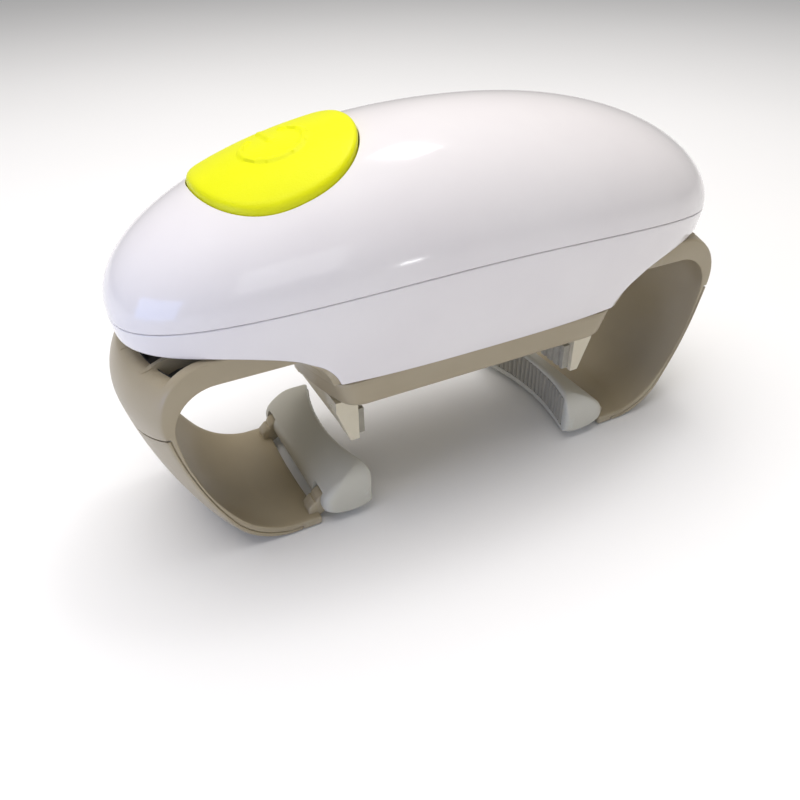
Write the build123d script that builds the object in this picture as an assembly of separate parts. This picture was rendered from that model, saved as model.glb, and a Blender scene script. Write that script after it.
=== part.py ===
from build123d import *
import math
import os

# Battery-powered automatic jar opener. Millimetres. X runs along the housing, Y across it,
# Z up from the surface that it stands on, and the jar's axis is the Z axis.

# --- Housing -------------------------------------------------------------------------------
LENGTH = 180.0
WIDTH = 70.6
PLAN_POWER = 2.505          # superellipse exponent of the plan outline
SEAM_Z = 74.7               # seam between the two shells, at mid length
SEAM_DROOP = 8.4            # how far the seam drops towards each end
DOME_HEIGHT = 29.4
DOME_POWER = 2.26           # superellipse exponent of the dome's side profile
WALL = 2.2
SEAM_GAP = 0.1
LIP_Z = SEAM_Z - 13.5       # underside of the housing's two ends
SKIRT_Z = SEAM_Z - 27.3     # lower edge of the middle of the housing
SKIRT_HALF_LENGTH = 43.4
END_CROWN = 5.5             # bulge of the middle part's end walls, in plan, over the middle 60 mm
END_CROWN_REACH = 30.0
ARM_SLOT_Z = SEAM_Z - 20.8

# --- Base plate ----------------------------------------------------------------------------
BASE_TOP = SKIRT_Z - 0.3
BASE_BOTTOM = SEAM_Z - 36.2
BASE_TAPER = 2.8
BASE_HALF_WIDTH = 28.4
BASE_FLOOR = 2.4
BORE_R = 20.9

# --- Button and hatch ----------------------------------------------------------------------
BUTTON_X = -46.0
BUTTON_RX = 20.5
BUTTON_RY = 22.2
BUTTON_POWER = 2.25
BUTTON_PROUD = 1.8
BUTTON_GAP = 0.3
DOOR_X = (12.5, 64.0)
DOOR_Z = (SEAM_Z + 0.8, SEAM_Z + 15.4)
DOOR_GAP = 0.25

# --- Arms ----------------------------------------------------------------------------------
ARM_HALF_WIDTH = 24.0
ARM_CROWN = 6.6             # bulge of the arm's outer face, in plan
TRAY_SKIN = 1.9
ARM_INNER_END = 46.0
ARM_FOOT_END = 49.5
COVER_SHARE = 0.42          # share of the band's thickness that the outer cover takes
RIB_PITCH = 13.4
FLANGE = 2.3
RIM_X = 80.6                # where the outer wall's top rim meets the arm's sides
RIM_Z = SEAM_Z - 18.0
FOOT_Z = -0.15              # the band's underside before its foot is cut flat at 0
TRAY_INNER_TOP = SEAM_Z - 14.8   # lower top of the part of the tray that slides under the gearbox
# Ends of the three tangent arcs of the band's side outline, from the tray to the foot, |x| and height
BAND_OUTER = [(72, 60.7), (86.0, 43.7), (73.8, 9.9), (58, FOOT_Z)]
BAND_INNER = [(72, 54.2), (83.2, 42.0), (71.8, 11.5), (57, 2.8)]
COVER_SEAM_EDGE = 42.7      # height of the cover's upper edge at the arm's sides
COVER_SEAM_DIP = 5.0

# --- Paddles -------------------------------------------------------------------------------
HINGE_X = 47.4
HINGE_Z = 5.6
HINGE_PIN_R = 1.2
LUG_R = 2.8
LUG_Y = (17.0, 22.0)
GRIP_R = 70.0               # shallow hollow of the paddles' gripping faces
GRIP_AXIS_X = -32.0         # axis of that hollow, across the middle from the paddle
PAD_THICK = 2.0
PAD_PROUD = 0.4             # how far the rubber stands out of its recess
PAD_HALF_WIDTH = 22.5
PAD_Z = (4.2, 14.2)
PADDLE_HALF_WIDTH = 26.0
PADDLE_TOP_ROUND = 6.5      # rounding of the upper corners, seen from the jar
PADDLE_OUTLINE = [(32.0, 15.6), (35.5, 16.2), (40.0, 15.2), (45.6, 12.0), (48.6, 8.5),
                  (47.9, 4.2), (44.5, 2.0), (39.0, 1.4), (35.0, 2.3), (32.0, 5.5)]

# --- Lid jaws and turntable ----------------------------------------------------------------
JAW_TOP = BASE_BOTTOM - 0.7
JAW_TIP = SEAM_Z - 50.4
JAW_FACE = 33.7
JAW_HALF_WIDTH = 22.0
JAW_PAD = 2.2
BEAM_TOP = BASE_BOTTOM - 0.45
BEAM_BOTTOM = SEAM_Z - 41.2
BEAM_HALF_LENGTH = 31.0
BEAM_HALF_WIDTH = 14.0
CHANNEL_HALF_WIDTH = 10.0
RACK_TOP = BEAM_TOP - 0.3
RACK_BOTTOM = SEAM_Z - 39.3
HUB_R = 20.7
FLANGE_R = 23.5
HUB_TOP = SEAM_Z - 31.4

# --- Gears ---------------------------------------------------------------------------------
PRESSURE_ANGLE = math.radians(25)
ADDENDUM = 0.7              # in modules
DEDENDUM = 1.0
BACKLASH = 0.10             # taken off each flank
FINE = 0.8                  # module of the fast gears
COARSE = 1.0                # module of the slow gears and of the racks
SHAFT_R = 3.0
RUN = 0.08                  # radial clearance of a running fit
DRIVE_TEETH = 40
ARM_PINION_TEETH = 18
JAW_PINION_TEETH = 10
SECOND_AXIS = (-24.0, 7.0)
FIRST_AXIS = (-13.2, -7.4)
MOTOR_AXIS = (-0.4, 2.2)
LAYER_FAST = (SEAM_Z - 5.6, SEAM_Z - 3.2)
LAYER_MIDDLE = (SEAM_Z - 8.9, SEAM_Z - 6.4)
LAYER_SLOW = (SEAM_Z - 12.4, SEAM_Z - 9.5)
LAYER_ARM = (SEAM_Z - 20.4, SEAM_Z - 15.0)
GUIDE_PLATE_Z = (SEAM_Z - 23.0, SEAM_Z - 21.4)
GEARBOX_BASE_Z = (SEAM_Z - 14.4, SEAM_Z - 12.9)
GEARBOX_COVER_Z = (SEAM_Z - 2.6, SEAM_Z - 1.2)

# --- Screws: distance of each group's four screws from the middle, in X and Y ----------------
HOUSING_SCREWS = (72, 12)
BASE_SCREWS = (35, 21)
CHASSIS_SCREWS = (30, 26.0)
CARRIER_SCREWS = (12, 12)
GEARBOX_POSTS = ((-36, -15), (-37, 22), (21, 21), (21, -21))

# --- Electrical ----------------------------------------------------------------------------
CELL_R = 7.25
CELL_LENGTH = 50.0
CELL_X = 13.2
CELL_Z = SEAM_Z + 7.5
MOTOR_R = 11.5
MOTOR_HEIGHT = 24.0
BOARD_Z = SEAM_Z + 2.4


def tube(radius, bore, low, high, at=(0, 0)):
    """Upright cylinder between two heights, with a bore if the bore's radius isn't zero."""
    height = high - low
    solid = Cylinder(radius, height)
    if bore:
        solid -= Cylinder(bore, height * 2)
    return Pos(at[0], at[1], (low + high) / 2) * solid


def block(x, y, z):
    """Box given by its lowest and highest X, Y and Z."""
    size = [high - low for low, high in (x, y, z)]
    centre = [(high + low) / 2 for low, high in (x, y, z)]
    return Pos(*centre) * Box(*size)


def corners(x, y):
    return [(sx * x, sy * y) for sx in (-1, 1) for sy in (-1, 1)]


def side_face(points):
    """Closed face of straight edges in the XZ plane, from (x, z) pairs."""
    wire = Wire.make_polygon([(x, 0, z) for x, z in points], close=True)
    return Face(wire)


def loop_face(*curves):
    """Flat face inside a closed chain of curves."""
    return Face(Wire([edge for curve in curves for edge in curve.edges()]))


def power_curve(share, power):
    return max(0.0, 1 - abs(share) ** power) ** (1 / power)


def seam_height(x):
    return SEAM_Z - SEAM_DROOP * (2 * x / LENGTH) ** 2


def plan_outline(half_length, half_width, power, z, centre_x=0.0, points=40):
    """Closed smooth superellipse in plan."""
    ring = []
    for step in range(points):
        angle = 2 * math.pi * step / points
        c, s = math.cos(angle), math.sin(angle)
        x = math.copysign(abs(c) ** (2 / power), c) * half_length
        y = math.copysign(abs(s) ** (2 / power), s) * half_width
        ring.append((centre_x + x, y, z))
    return loop_face(Spline(*ring, periodic=True))


# --------------------------------------------------------------------------------------------
# Housing shells
# --------------------------------------------------------------------------------------------
def dome(inset=0.0, drop=0.0):
    """Solid of the housing above the seam, moved inwards by the inset and carried down by the drop."""
    sections = []
    half = LENGTH / 2
    for degrees in (-85, -76, -66, -55, -42, -28, -14, 0, 14, 28, 42, 55, 66, 76, 85):
        share = math.sin(math.radians(degrees))
        x = share * (half - inset)
        width = power_curve(share, PLAN_POWER) * (WIDTH / 2 - inset)
        height = power_curve(share, DOME_POWER) * (DOME_HEIGHT - inset)
        plane = Plane(origin=(x, 0, seam_height(x) + SEAM_GAP), x_dir=(0, 1, 0), z_dir=(1, 0, 0))
        arch = plane * EllipticalCenterArc((0, 0), width, height, start_angle=0, arc_size=180)
        low = [point - Vector(0, 0, drop) for point in (arch @ 1, arch @ 0)]
        base = Polyline(arch @ 1, *low, arch @ 0) if drop else Line(arch @ 1, arch @ 0)
        sections.append(loop_face(arch, base))
    return loft(sections)


def seam_side(above):
    """Everything above or below the seam, as a slab across the whole width."""
    reach = LENGTH
    end = seam_height(LENGTH / 2)
    rise = SEAM_Z - end
    outer = end - rise * 3
    curve = ThreePointArc((-reach, 0, outer), (0, 0, SEAM_Z), (reach, 0, outer))
    far = 300 if above else -300
    frame = Polyline((reach, 0, outer), (reach, 0, far), (-reach, 0, far), (-reach, 0, outer))
    return extrude(loop_face(curve, frame), amount=WIDTH, dir=(0, 1, 0), both=True)


def crowned(face, half_width, crown):
    """Sweep an XZ outline across Y while it bulges by the crown in +X at mid width."""
    sections = []
    for share in (-1, -0.5, 0, 0.5, 1):
        bulge = crown * (1 - share ** 2)
        sections.append(Pos(bulge, half_width * share, 0) * face)
    return loft(sections)


def arch_tool(grow):
    """Space that the arm passes through, under one end of the housing."""
    curve = Spline((SKIRT_HALF_LENGTH - grow, 0, SKIRT_Z - 4), (50.3 - grow, 0, SEAM_Z - 19.1 + grow),
                   (60.0, 0, SEAM_Z - 15.3 + grow), (74.0, 0, LIP_Z + grow),
                   tangents=((0.1, 0, 1), (1, 0, 0)))
    frame = Polyline((74.0, 0, LIP_Z + grow), (LENGTH * 0.6, 0, LIP_Z + grow),
                     (LENGTH * 0.6, 0, SKIRT_Z - 4), (SKIRT_HALF_LENGTH - grow, 0, SKIRT_Z - 4))
    widening = 1.25
    crown = END_CROWN * widening ** 2
    face = Pos(END_CROWN - crown, 0, 0) * loop_face(curve, frame)
    return crowned(face, END_CROWN_REACH * widening, crown)


def skirt_body(inset):
    """Solid of the housing below the seam before the ends are cut away for the arms."""
    levels = ((SEAM_Z + 1, 90.0, WIDTH / 2), (SEAM_Z - SEAM_DROOP, 90.0, 34.0),
              (SKIRT_Z, 80.0, 30.0))
    faces = [plan_outline(length - inset, width - inset, PLAN_POWER, z) for z, length, width in levels]
    return loft(faces)


def make_lower_housing():
    shell = skirt_body(0.0)
    cavity = skirt_body(WALL)
    for turn in (0, 180):
        shell -= Rot(0, 0, turn) * arch_tool(0.0)
        cavity -= Rot(0, 0, turn) * arch_tool(WALL)
    cavity += extrude(plan_outline(SKIRT_HALF_LENGTH, BASE_HALF_WIDTH - WALL, 5.0, SKIRT_Z - 1), amount=6)
    shell -= cavity
    shell -= seam_side(True)
    for turn in (0, 180):
        slot = block((30, 78), (-ARM_HALF_WIDTH - 0.4, ARM_HALF_WIDTH + 0.4), (ARM_SLOT_Z, LIP_Z))
        shell -= Rot(0, 0, turn) * slot
    for spot in corners(*CHASSIS_SCREWS):
        shell += tube(1.6, 0.0, GUIDE_PLATE_Z[1], SEAM_Z - 8, spot)
        shell -= tube(0.8, 0.0, GUIDE_PLATE_Z[1] - 1, SEAM_Z - 7, spot)
    for x in (-60, -50):
        for y in (-10, 10):
            shell += tube(2.2, 0.0, LIP_Z + 1, BOARD_Z, (x, y))
    for spot in corners(*HOUSING_SCREWS):
        shell -= tube(1.4, 0.0, LIP_Z - 2, LIP_Z + 5, spot)
        shell -= tube(2.5, 0.0, LIP_Z - 2, LIP_Z + 1.1, spot)
    return largest(shell)


def largest(shape):
    """Biggest solid of a shape, so that no sliver is kept."""
    return max(shape.solids(), key=lambda solid: solid.volume)


def button_plan(extra, low, high):
    face = plan_outline(BUTTON_RX + extra, BUTTON_RY + extra, BUTTON_POWER, low, BUTTON_X)
    return extrude(face, amount=high - low, dir=(0, 0, 1))


def door_prism(gap):
    """Prism of the battery hatch, which runs straight out through the back of the dome."""
    low, high = DOOR_X[0] + gap, DOOR_X[1] - gap
    bottom, top = DOOR_Z[0] + gap, DOOR_Z[1] - gap
    plane = Plane(origin=((low + high) / 2, 0, (bottom + top) / 2), x_dir=(1, 0, 0), z_dir=(0, -1, 0))
    face = plane * RectangleRounded(high - low, top - bottom, 3.0 - gap)
    return extrude(face, amount=WIDTH, dir=(0, 1, 0))


def make_upper_housing():
    shell = dome() - dome(WALL, 2.0)
    limit = dome(WALL / 2, 14.0)
    for spot in corners(*HOUSING_SCREWS):
        post = tube(3.0, 0.0, SEAM_Z - 11.2, SEAM_Z + 20, spot) & limit
        shell += post - tube(1.05, 0.0, SEAM_Z - 12, SEAM_Z - 1, spot)
    shell -= button_plan(BUTTON_GAP, SEAM_Z, SEAM_Z + 40)
    shell -= door_prism(0.0)
    return largest(shell)


def make_button():
    """Button cap with a skirt that follows its outline and a stem to the switch."""
    cover = Pos(0, 0, BUTTON_PROUD) * dome()
    cap = button_plan(0.0, SEAM_Z + 12, SEAM_Z + 40) & cover
    hollow = button_plan(-1.8, SEAM_Z + 10, SEAM_Z + 40) & (Pos(0, 0, BUTTON_PROUD) * dome(2.0))
    skirt_cut = button_plan(2.0, SEAM_Z + 10, SEAM_Z + 40) & (Pos(0, 0, -5.0) * dome())
    cap = cap - hollow - skirt_cut
    cap += tube(2.4, 0.0, SEAM_Z + 9.2, SEAM_Z + 24, (BUTTON_X, 0))
    return largest(cap)


def make_button_guide():
    """Tray under the button with the sleeve that guides its stem."""
    low = SEAM_Z + 10.0
    tray = button_plan(-3.4, low, low + 1.6) & dome(WALL + 0.2)
    tray += tube(4.0, 0.0, low - 2.2, low + 1.6, (BUTTON_X, 0))
    tray -= tube(2.4 + RUN, 0.0, low - 5, low + 5, (BUTTON_X, 0))
    for y in (-10, 10):
        tray += tube(1.8, 0.0, BOARD_Z + 1.6, low, (BUTTON_X, y))
    return tray


def coil(radius, wire, low, high, turns, at=(0, 0)):
    """Coil spring drawn as a round wire on a helix."""
    pitch = (high - low) / turns
    path = Helix(pitch, high - low, radius)
    profile = Plane(origin=path @ 0, z_dir=path % 0) * Circle(wire)
    return Pos(at[0], at[1], low) * sweep(profile, path=path, is_frenet=True)


# --------------------------------------------------------------------------------------------
# Base plate and inner plates
# --------------------------------------------------------------------------------------------
def base_outline(half_length, half_width, z):
    """Rectangle with bulged ends and rounded corners."""
    side = Line((-half_length, half_width), (half_length, half_width))
    right = ThreePointArc(side @ 1, (half_length + END_CROWN, 0), (half_length, -half_width))
    back = Line(right @ 1, (-half_length, -half_width))
    left = ThreePointArc(back @ 1, (-half_length - END_CROWN, 0), side @ 0)
    face = make_face([side, right, back, left])
    face = fillet(face.vertices(), 4.0)
    return Pos(0, 0, z) * face.face()


def make_base_plate():
    top_length = SKIRT_HALF_LENGTH - 0.5
    shell = loft([base_outline(top_length, BASE_HALF_WIDTH, BASE_TOP),
                  base_outline(top_length - BASE_TAPER, BASE_HALF_WIDTH - 0.8, BASE_BOTTOM)])
    inset = WALL
    shell -= loft([base_outline(top_length - inset, BASE_HALF_WIDTH - inset, BASE_TOP + 0.01),
                   base_outline(top_length - inset - BASE_TAPER * 0.7, BASE_HALF_WIDTH - inset - 0.6,
                                BASE_BOTTOM + BASE_FLOOR)])
    for spot in corners(*BASE_SCREWS):
        shell += tube(3.4, 0.0, BASE_BOTTOM + 1, GUIDE_PLATE_Z[0], spot)
        shell -= tube(1.2, 0.0, BASE_BOTTOM - 1, GUIDE_PLATE_Z[0] + 1, spot)
        shell -= tube(2.6, 0.0, BASE_BOTTOM - 1, BASE_BOTTOM + 1.6, spot)
    shell -= tube(BORE_R, 0.0, BASE_BOTTOM - 1, BASE_TOP)
    return shell


def make_guide_plate():
    """Plate that the arms' trays slide on."""
    plate = extrude(base_outline(37.5, 27.2, GUIDE_PLATE_Z[0]), amount=GUIDE_PLATE_Z[1] - GUIDE_PLATE_Z[0])
    plate -= tube(8.0, 0.0, GUIDE_PLATE_Z[0] - 1, GUIDE_PLATE_Z[1] + 1)
    for spot in corners(*CHASSIS_SCREWS):
        plate -= tube(0.9, 0.0, GUIDE_PLATE_Z[0] - 1, GUIDE_PLATE_Z[1] + 1, spot)
    for spot in corners(*BASE_SCREWS):
        plate -= tube(1.0, 0.0, GUIDE_PLATE_Z[0] - 1, GUIDE_PLATE_Z[1] + 1, spot)
    for spot in corners(14, 20):
        plate += tube(2.4, 0.0, GUIDE_PLATE_Z[0] + 0.5, GEARBOX_BASE_Z[0], spot)
    return plate


def gearbox_plate(z):
    return block((-40, 24.5), (-24.5, 25.0), z)


def make_gearbox_base():
    plate = gearbox_plate(GEARBOX_BASE_Z)
    plate -= tube(5.0, 0.0, GEARBOX_BASE_Z[0] - 1, GEARBOX_BASE_Z[1] + 1)
    for spot in GEARBOX_POSTS:
        plate += tube(2.6, 0.0, GEARBOX_BASE_Z[0] + 0.5, GEARBOX_COVER_Z[0], spot)
        plate -= tube(0.8, 0.0, GEARBOX_COVER_Z[0] - 6, GEARBOX_COVER_Z[0] + 1, spot)
    plate -= tube(1.5, 0.0, GEARBOX_BASE_Z[0] - 1, GEARBOX_BASE_Z[1] + 1, SECOND_AXIS)
    return plate


def make_gearbox_cover():
    plate = gearbox_plate(GEARBOX_COVER_Z)
    for spot in GEARBOX_POSTS:
        plate -= tube(0.9, 0.0, GEARBOX_COVER_Z[0] - 1, GEARBOX_COVER_Z[1] + 1, spot)
    for spot in (FIRST_AXIS, SECOND_AXIS):
        plate -= tube(1.5, 0.0, GEARBOX_COVER_Z[0] - 1, GEARBOX_COVER_Z[1] + 1, spot)
    plate -= tube(5.5, 0.0, GEARBOX_COVER_Z[0] - 1, GEARBOX_COVER_Z[1] + 1, MOTOR_AXIS)
    return plate


# --------------------------------------------------------------------------------------------
# Gears and racks
# --------------------------------------------------------------------------------------------
def gear(teeth, module, low, high, bore, at=(0, 0), turn=0.0):
    """Spur gear with involute flanks. A tooth points along +X before the turn, in degrees."""
    pitch_r = module * teeth / 2
    base_r = pitch_r * math.cos(PRESSURE_ANGLE)
    tip_r = pitch_r + ADDENDUM * module
    root_r = pitch_r - DEDENDUM * module
    involute = math.tan(PRESSURE_ANGLE) - PRESSURE_ANGLE
    half_tooth = math.pi / (2 * teeth) - BACKLASH / pitch_r
    flank = []
    start_r = max(base_r, root_r)
    for share in (0.0, 0.5, 1.0):
        radius = start_r + (tip_r - start_r) * share
        roll = math.acos(min(1.0, base_r / radius))
        flank.append((radius, half_tooth + involute - (math.tan(roll) - roll)))
    flank.insert(0, (root_r, flank[0][1]))
    ring = []
    for tooth in range(teeth):
        centre = math.radians(turn) + 2 * math.pi * tooth / teeth
        for radius, angle in flank:
            ring.append((radius * math.cos(centre - angle), radius * math.sin(centre - angle)))
        for radius, angle in reversed(flank):
            ring.append((radius * math.cos(centre + angle), radius * math.sin(centre + angle)))
    wheel = extrude(Face(Wire.make_polygon(ring, close=True)), amount=high - low)
    wheel = Pos(at[0], at[1], low) * wheel
    if bore:
        wheel -= tube(bore, 0.0, low - 1, high + 1, at)
    return wheel


def mesh_turn(teeth_a, turn_a, at_a, teeth_b, at_b):
    """Turn of gear b, in degrees, that puts a gap of b where gear a has a tooth."""
    direction = math.degrees(math.atan2(at_b[1] - at_a[1], at_b[0] - at_a[0]))
    share_a = (direction - turn_a) * teeth_a / 360
    share_b = 0.5 - share_a
    return direction + 180 - share_b * 360 / teeth_b


def rack(start, end, pitch_y, back_y, low, high, module):
    """Straight rack from start to end in X, with a tooth centred on X = 0 and its pitch line at pitch_y."""
    outward = math.copysign(1, back_y - pitch_y)
    pitch = math.pi * module
    tip_y = pitch_y - outward * ADDENDUM * module
    root_y = pitch_y + outward * DEDENDUM * module
    tip_half = pitch / 4 - BACKLASH - ADDENDUM * module * math.tan(PRESSURE_ANGLE)
    root_half = pitch / 4 - BACKLASH + DEDENDUM * module * math.tan(PRESSURE_ANGLE)
    points = [(start, root_y)]
    first = math.ceil((start + root_half) / pitch)
    last = math.floor((end - root_half) / pitch)
    for number in range(first, last + 1):
        centre = number * pitch
        points += [(centre - root_half, root_y), (centre - tip_half, tip_y),
                   (centre + tip_half, tip_y), (centre + root_half, root_y)]
    points += [(end, root_y), (end, back_y), (start, back_y)]
    face = Face(Wire.make_polygon([(x, y, low) for x, y in points], close=True))
    return extrude(face, amount=high - low, dir=(0, 0, 1))


# --------------------------------------------------------------------------------------------
# Arms and paddles, drawn on the +X side
# --------------------------------------------------------------------------------------------
def band_points(share):
    """The band's outline at a share of its thickness, from 0 outside to 1 inside."""
    return [(xo + (xi - xo) * share, zo + (zi - zo) * share)
            for (xo, zo), (xi, zi) in zip(BAND_OUTER, BAND_INNER)]


def band_curve(share):
    points = [(x, 0, z) for x, z in band_points(share)]
    direction = (1, 0, 0)
    arcs = []
    for start, end in zip(points, points[1:]):
        arcs.append(TangentArc(start, end, tangent=direction))
        direction = arcs[-1] % 1
    return Wire(arcs)


def band_face(share_out, share_in, inner_end, foot_end):
    """Side face of the band between two shares of its thickness."""
    outer = band_curve(share_out)
    inner = band_curve(share_in)
    top = Line((inner_end, 0, (inner @ 0).Z), inner @ 0)
    end = Line((inner_end, 0, (inner @ 0).Z), (inner_end, 0, (outer @ 0).Z))
    crest = Line((inner_end, 0, (outer @ 0).Z), outer @ 0)
    foot = Polyline(outer @ 1, (foot_end, 0, (outer @ 1).Z), (foot_end, 0, (inner @ 1).Z), inner @ 1)
    return loop_face(crest, outer, foot, inner, top, end)


def cover_zone():
    """Space outside which the arm's cover doesn't reach: below its dipped upper edge."""
    far = 60
    edge = ThreePointArc((0, -ARM_HALF_WIDTH, COVER_SEAM_EDGE), (0, 0, COVER_SEAM_EDGE - COVER_SEAM_DIP),
                         (0, ARM_HALF_WIDTH, COVER_SEAM_EDGE))
    frame = Polyline((0, ARM_HALF_WIDTH, COVER_SEAM_EDGE), (0, far, COVER_SEAM_EDGE), (0, far, -far),
                     (0, -far, -far), (0, -far, COVER_SEAM_EDGE), (0, -ARM_HALF_WIDTH, COVER_SEAM_EDGE))
    zone = extrude(loop_face(edge, frame), amount=50, dir=(1, 0, 0))
    return Pos(55, 0, 0) * zone


def make_arm_cover():
    cover = crowned(band_face(0.0, COVER_SHARE, 40, 30), ARM_HALF_WIDTH, ARM_CROWN)
    return largest(cover & cover_zone() & block((55, 100), (-30, 30), (0, SEAM_Z)))


def arm_pocket():
    """Open space in the tray between its inner skin and the housing."""
    floor = BAND_INNER[0][1] + TRAY_SKIN
    rim = RIM_X - FLANGE
    outline = [(20, floor), (BAND_INNER[0][0] + 1, floor), (rim - 1, floor - 2.2), (rim, RIM_Z - 2.5),
               (rim, RIM_Z), (RIM_X + 4, RIM_Z), (RIM_X + 4, SEAM_Z - 12), (20, SEAM_Z - 12)]
    pocket = crowned(side_face(outline), ARM_HALF_WIDTH, ARM_CROWN)
    pocket &= block((0, 120), (-ARM_HALF_WIDTH + FLANGE, ARM_HALF_WIDTH - FLANGE), (0, SEAM_Z))
    for y in (-RIB_PITCH, 0, RIB_PITCH):
        pocket -= block((50, 90), (y - 0.7, y + 0.7), (0, SEAM_Z - 17.4))
    return pocket


def make_arm():
    """One arm with its tray, ribs and hinge lugs. Its rack lies on the -Y side of the drive."""
    arm = crowned(band_face(0.0, 1.0, 20, 30), ARM_HALF_WIDTH, ARM_CROWN)
    arm &= block((ARM_INNER_END, 120), (-30, 30), (0, SEAM_Z))
    arm -= block((0, 62), (-30, 30), (TRAY_INNER_TOP, SEAM_Z))
    arm -= block((0, ARM_FOOT_END), (-30, 30), (-5, 30))
    arm -= arm_pocket()
    arm -= crowned(band_face(0.0, COVER_SHARE, 40, 30), ARM_HALF_WIDTH, ARM_CROWN) & cover_zone() & block(
        (55, 100), (-30, 30), (-5, SEAM_Z))
    arm = largest(arm)
    # room for the other arm's rack when both arms are in
    arm -= block((40, 52), (6, 15.5), (40, SEAM_Z))
    back = -ARM_PINION_TEETH / 2 * COARSE - 4.5
    arm += rack(-9, ARM_INNER_END + 6, -ARM_PINION_TEETH / 2 * COARSE, back, LAYER_ARM[0] + 0.2,
                LAYER_ARM[1] - 0.2, COARSE)
    for sign in (-1, 1):
        y_low, y_high = sorted((sign * LUG_Y[0], sign * LUG_Y[1]))
        lug = Rot(90, 0, 0) * Cylinder(LUG_R, y_high - y_low)
        lug = Pos(HINGE_X, (y_low + y_high) / 2, HINGE_Z) * lug
        arm += lug
        arm += block((HINGE_X, ARM_FOOT_END + 2.5), (y_low, y_high), (HINGE_Z - LUG_R, HINGE_Z))
    arm -= Pos(HINGE_X, 0, HINGE_Z) * Rot(90, 0, 0) * Cylinder(HINGE_PIN_R, 80)
    return arm


def paddle_blank():
    """Whole paddle before its hollow, notches and bore: a bevelled bar with rounded upper corners."""
    points = [(x, 0, z) for x, z in PADDLE_OUTLINE]
    bar = extrude(Face(Wire.make_polygon(points, close=True)), amount=PADDLE_HALF_WIDTH, dir=(0, 1, 0),
                  both=True)
    top = max(z for _, z in PADDLE_OUTLINE)
    height = 2 * top
    end_shape = RectangleRounded(2 * PADDLE_HALF_WIDTH, height, PADDLE_TOP_ROUND)
    envelope = extrude(Plane.YZ * end_shape, amount=60)
    return bar & Pos(0, 0, top - height / 2) * envelope


def pad_room():
    """Space taken by the rubber lining of the gripping face."""
    room = block((20, 60), (-PAD_HALF_WIDTH, PAD_HALF_WIDTH), PAD_Z)
    return room & tube(GRIP_R + PAD_THICK, 0.0, 0, 30, (GRIP_AXIS_X, 0))


def make_paddle():
    paddle = paddle_blank() - tube(GRIP_R + PAD_PROUD, 0.0, -5, 40, (GRIP_AXIS_X, 0))
    paddle -= pad_room()
    for sign in (-1, 1):
        y_low, y_high = sorted((sign * (LUG_Y[0] - 0.4), sign * (LUG_Y[1] + 0.4)))
        notch = Rot(90, 0, 0) * Cylinder(LUG_R + 0.5, y_high - y_low)
        paddle -= Pos(HINGE_X, (y_low + y_high) / 2, HINGE_Z) * notch
        paddle -= block((HINGE_X - 1.5, 60), (y_low, y_high), (-5, HINGE_Z + LUG_R + 0.5))
    paddle -= Pos(HINGE_X, 0, HINGE_Z) * Rot(90, 0, 0) * Cylinder(HINGE_PIN_R + RUN, 80)
    # room for the arm's foot as the paddle swings
    paddle -= block((ARM_FOOT_END - 0.7, 60), (-25, 25), (-5, 4.6))
    return largest(paddle)


def make_paddle_pad():
    """Rubber lining set into the paddle's gripping face, with shallow upright grooves."""
    pad = pad_room() - tube(GRIP_R, 0.0, -5, 40, (GRIP_AXIS_X, 0))
    for step in range(-3, 4):
        groove = tube(0.6, 0.0, -5, 40, (GRIP_R, 0))
        pad -= Pos(GRIP_AXIS_X, 0, 0) * Rot(0, 0, 5.5 * step) * groove
    return largest(pad)


def make_hinge_pin():
    return Pos(HINGE_X, 0, HINGE_Z) * Rot(90, 0, 0) * Cylinder(HINGE_PIN_R, 50)


# --------------------------------------------------------------------------------------------
# Lid jaws, drawn on the +X side, and the turntable that carries them
# --------------------------------------------------------------------------------------------
def make_jaw():
    """One lid jaw: upright plate, top plate, gussets and the rack bar that moves it."""
    plate_x = JAW_FACE + JAW_PAD
    outer_top = 42.3
    jaw = block((plate_x, plate_x + 2.4), (-JAW_HALF_WIDTH, JAW_HALF_WIDTH), (JAW_TIP, JAW_TOP))
    jaw += block((plate_x, outer_top), (-JAW_HALF_WIDTH, JAW_HALF_WIDTH), (JAW_TOP - 2.2, JAW_TOP))
    gusset = side_face([(plate_x, JAW_TIP), (plate_x + 2.6, JAW_TIP), (outer_top, JAW_TOP - 3.2),
                        (outer_top, JAW_TOP), (plate_x, JAW_TOP)])
    for y in (-JAW_HALF_WIDTH, -18.0, 15.6, JAW_HALF_WIDTH - 2.4):
        jaw += Pos(0, y, 0) * extrude(gusset, amount=2.4, dir=(0, 1, 0))
    jaw -= block((30, 50), (-BEAM_HALF_WIDTH - 0.5, BEAM_HALF_WIDTH + 0.5), (BEAM_BOTTOM - 0.4, SEAM_Z))
    back = -(CHANNEL_HALF_WIDTH - 0.3)
    jaw += rack(-6.5, outer_top, -JAW_PINION_TEETH / 2 * COARSE, back, RACK_BOTTOM, RACK_TOP, COARSE)
    jaw += block((plate_x, outer_top), (back, -6.2), (BEAM_BOTTOM - 2.0, RACK_TOP))
    return jaw


def make_jaw_pad():
    pad = block((JAW_FACE, JAW_FACE + JAW_PAD), (-20.5, 20.5), (JAW_TIP + 0.6, BEAM_BOTTOM - 0.6))
    for step in range(-6, 7):
        groove = Pos(JAW_FACE, step * 3.1, JAW_TIP) * Cylinder(0.55, 40)
        pad -= groove
    return pad


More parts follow.
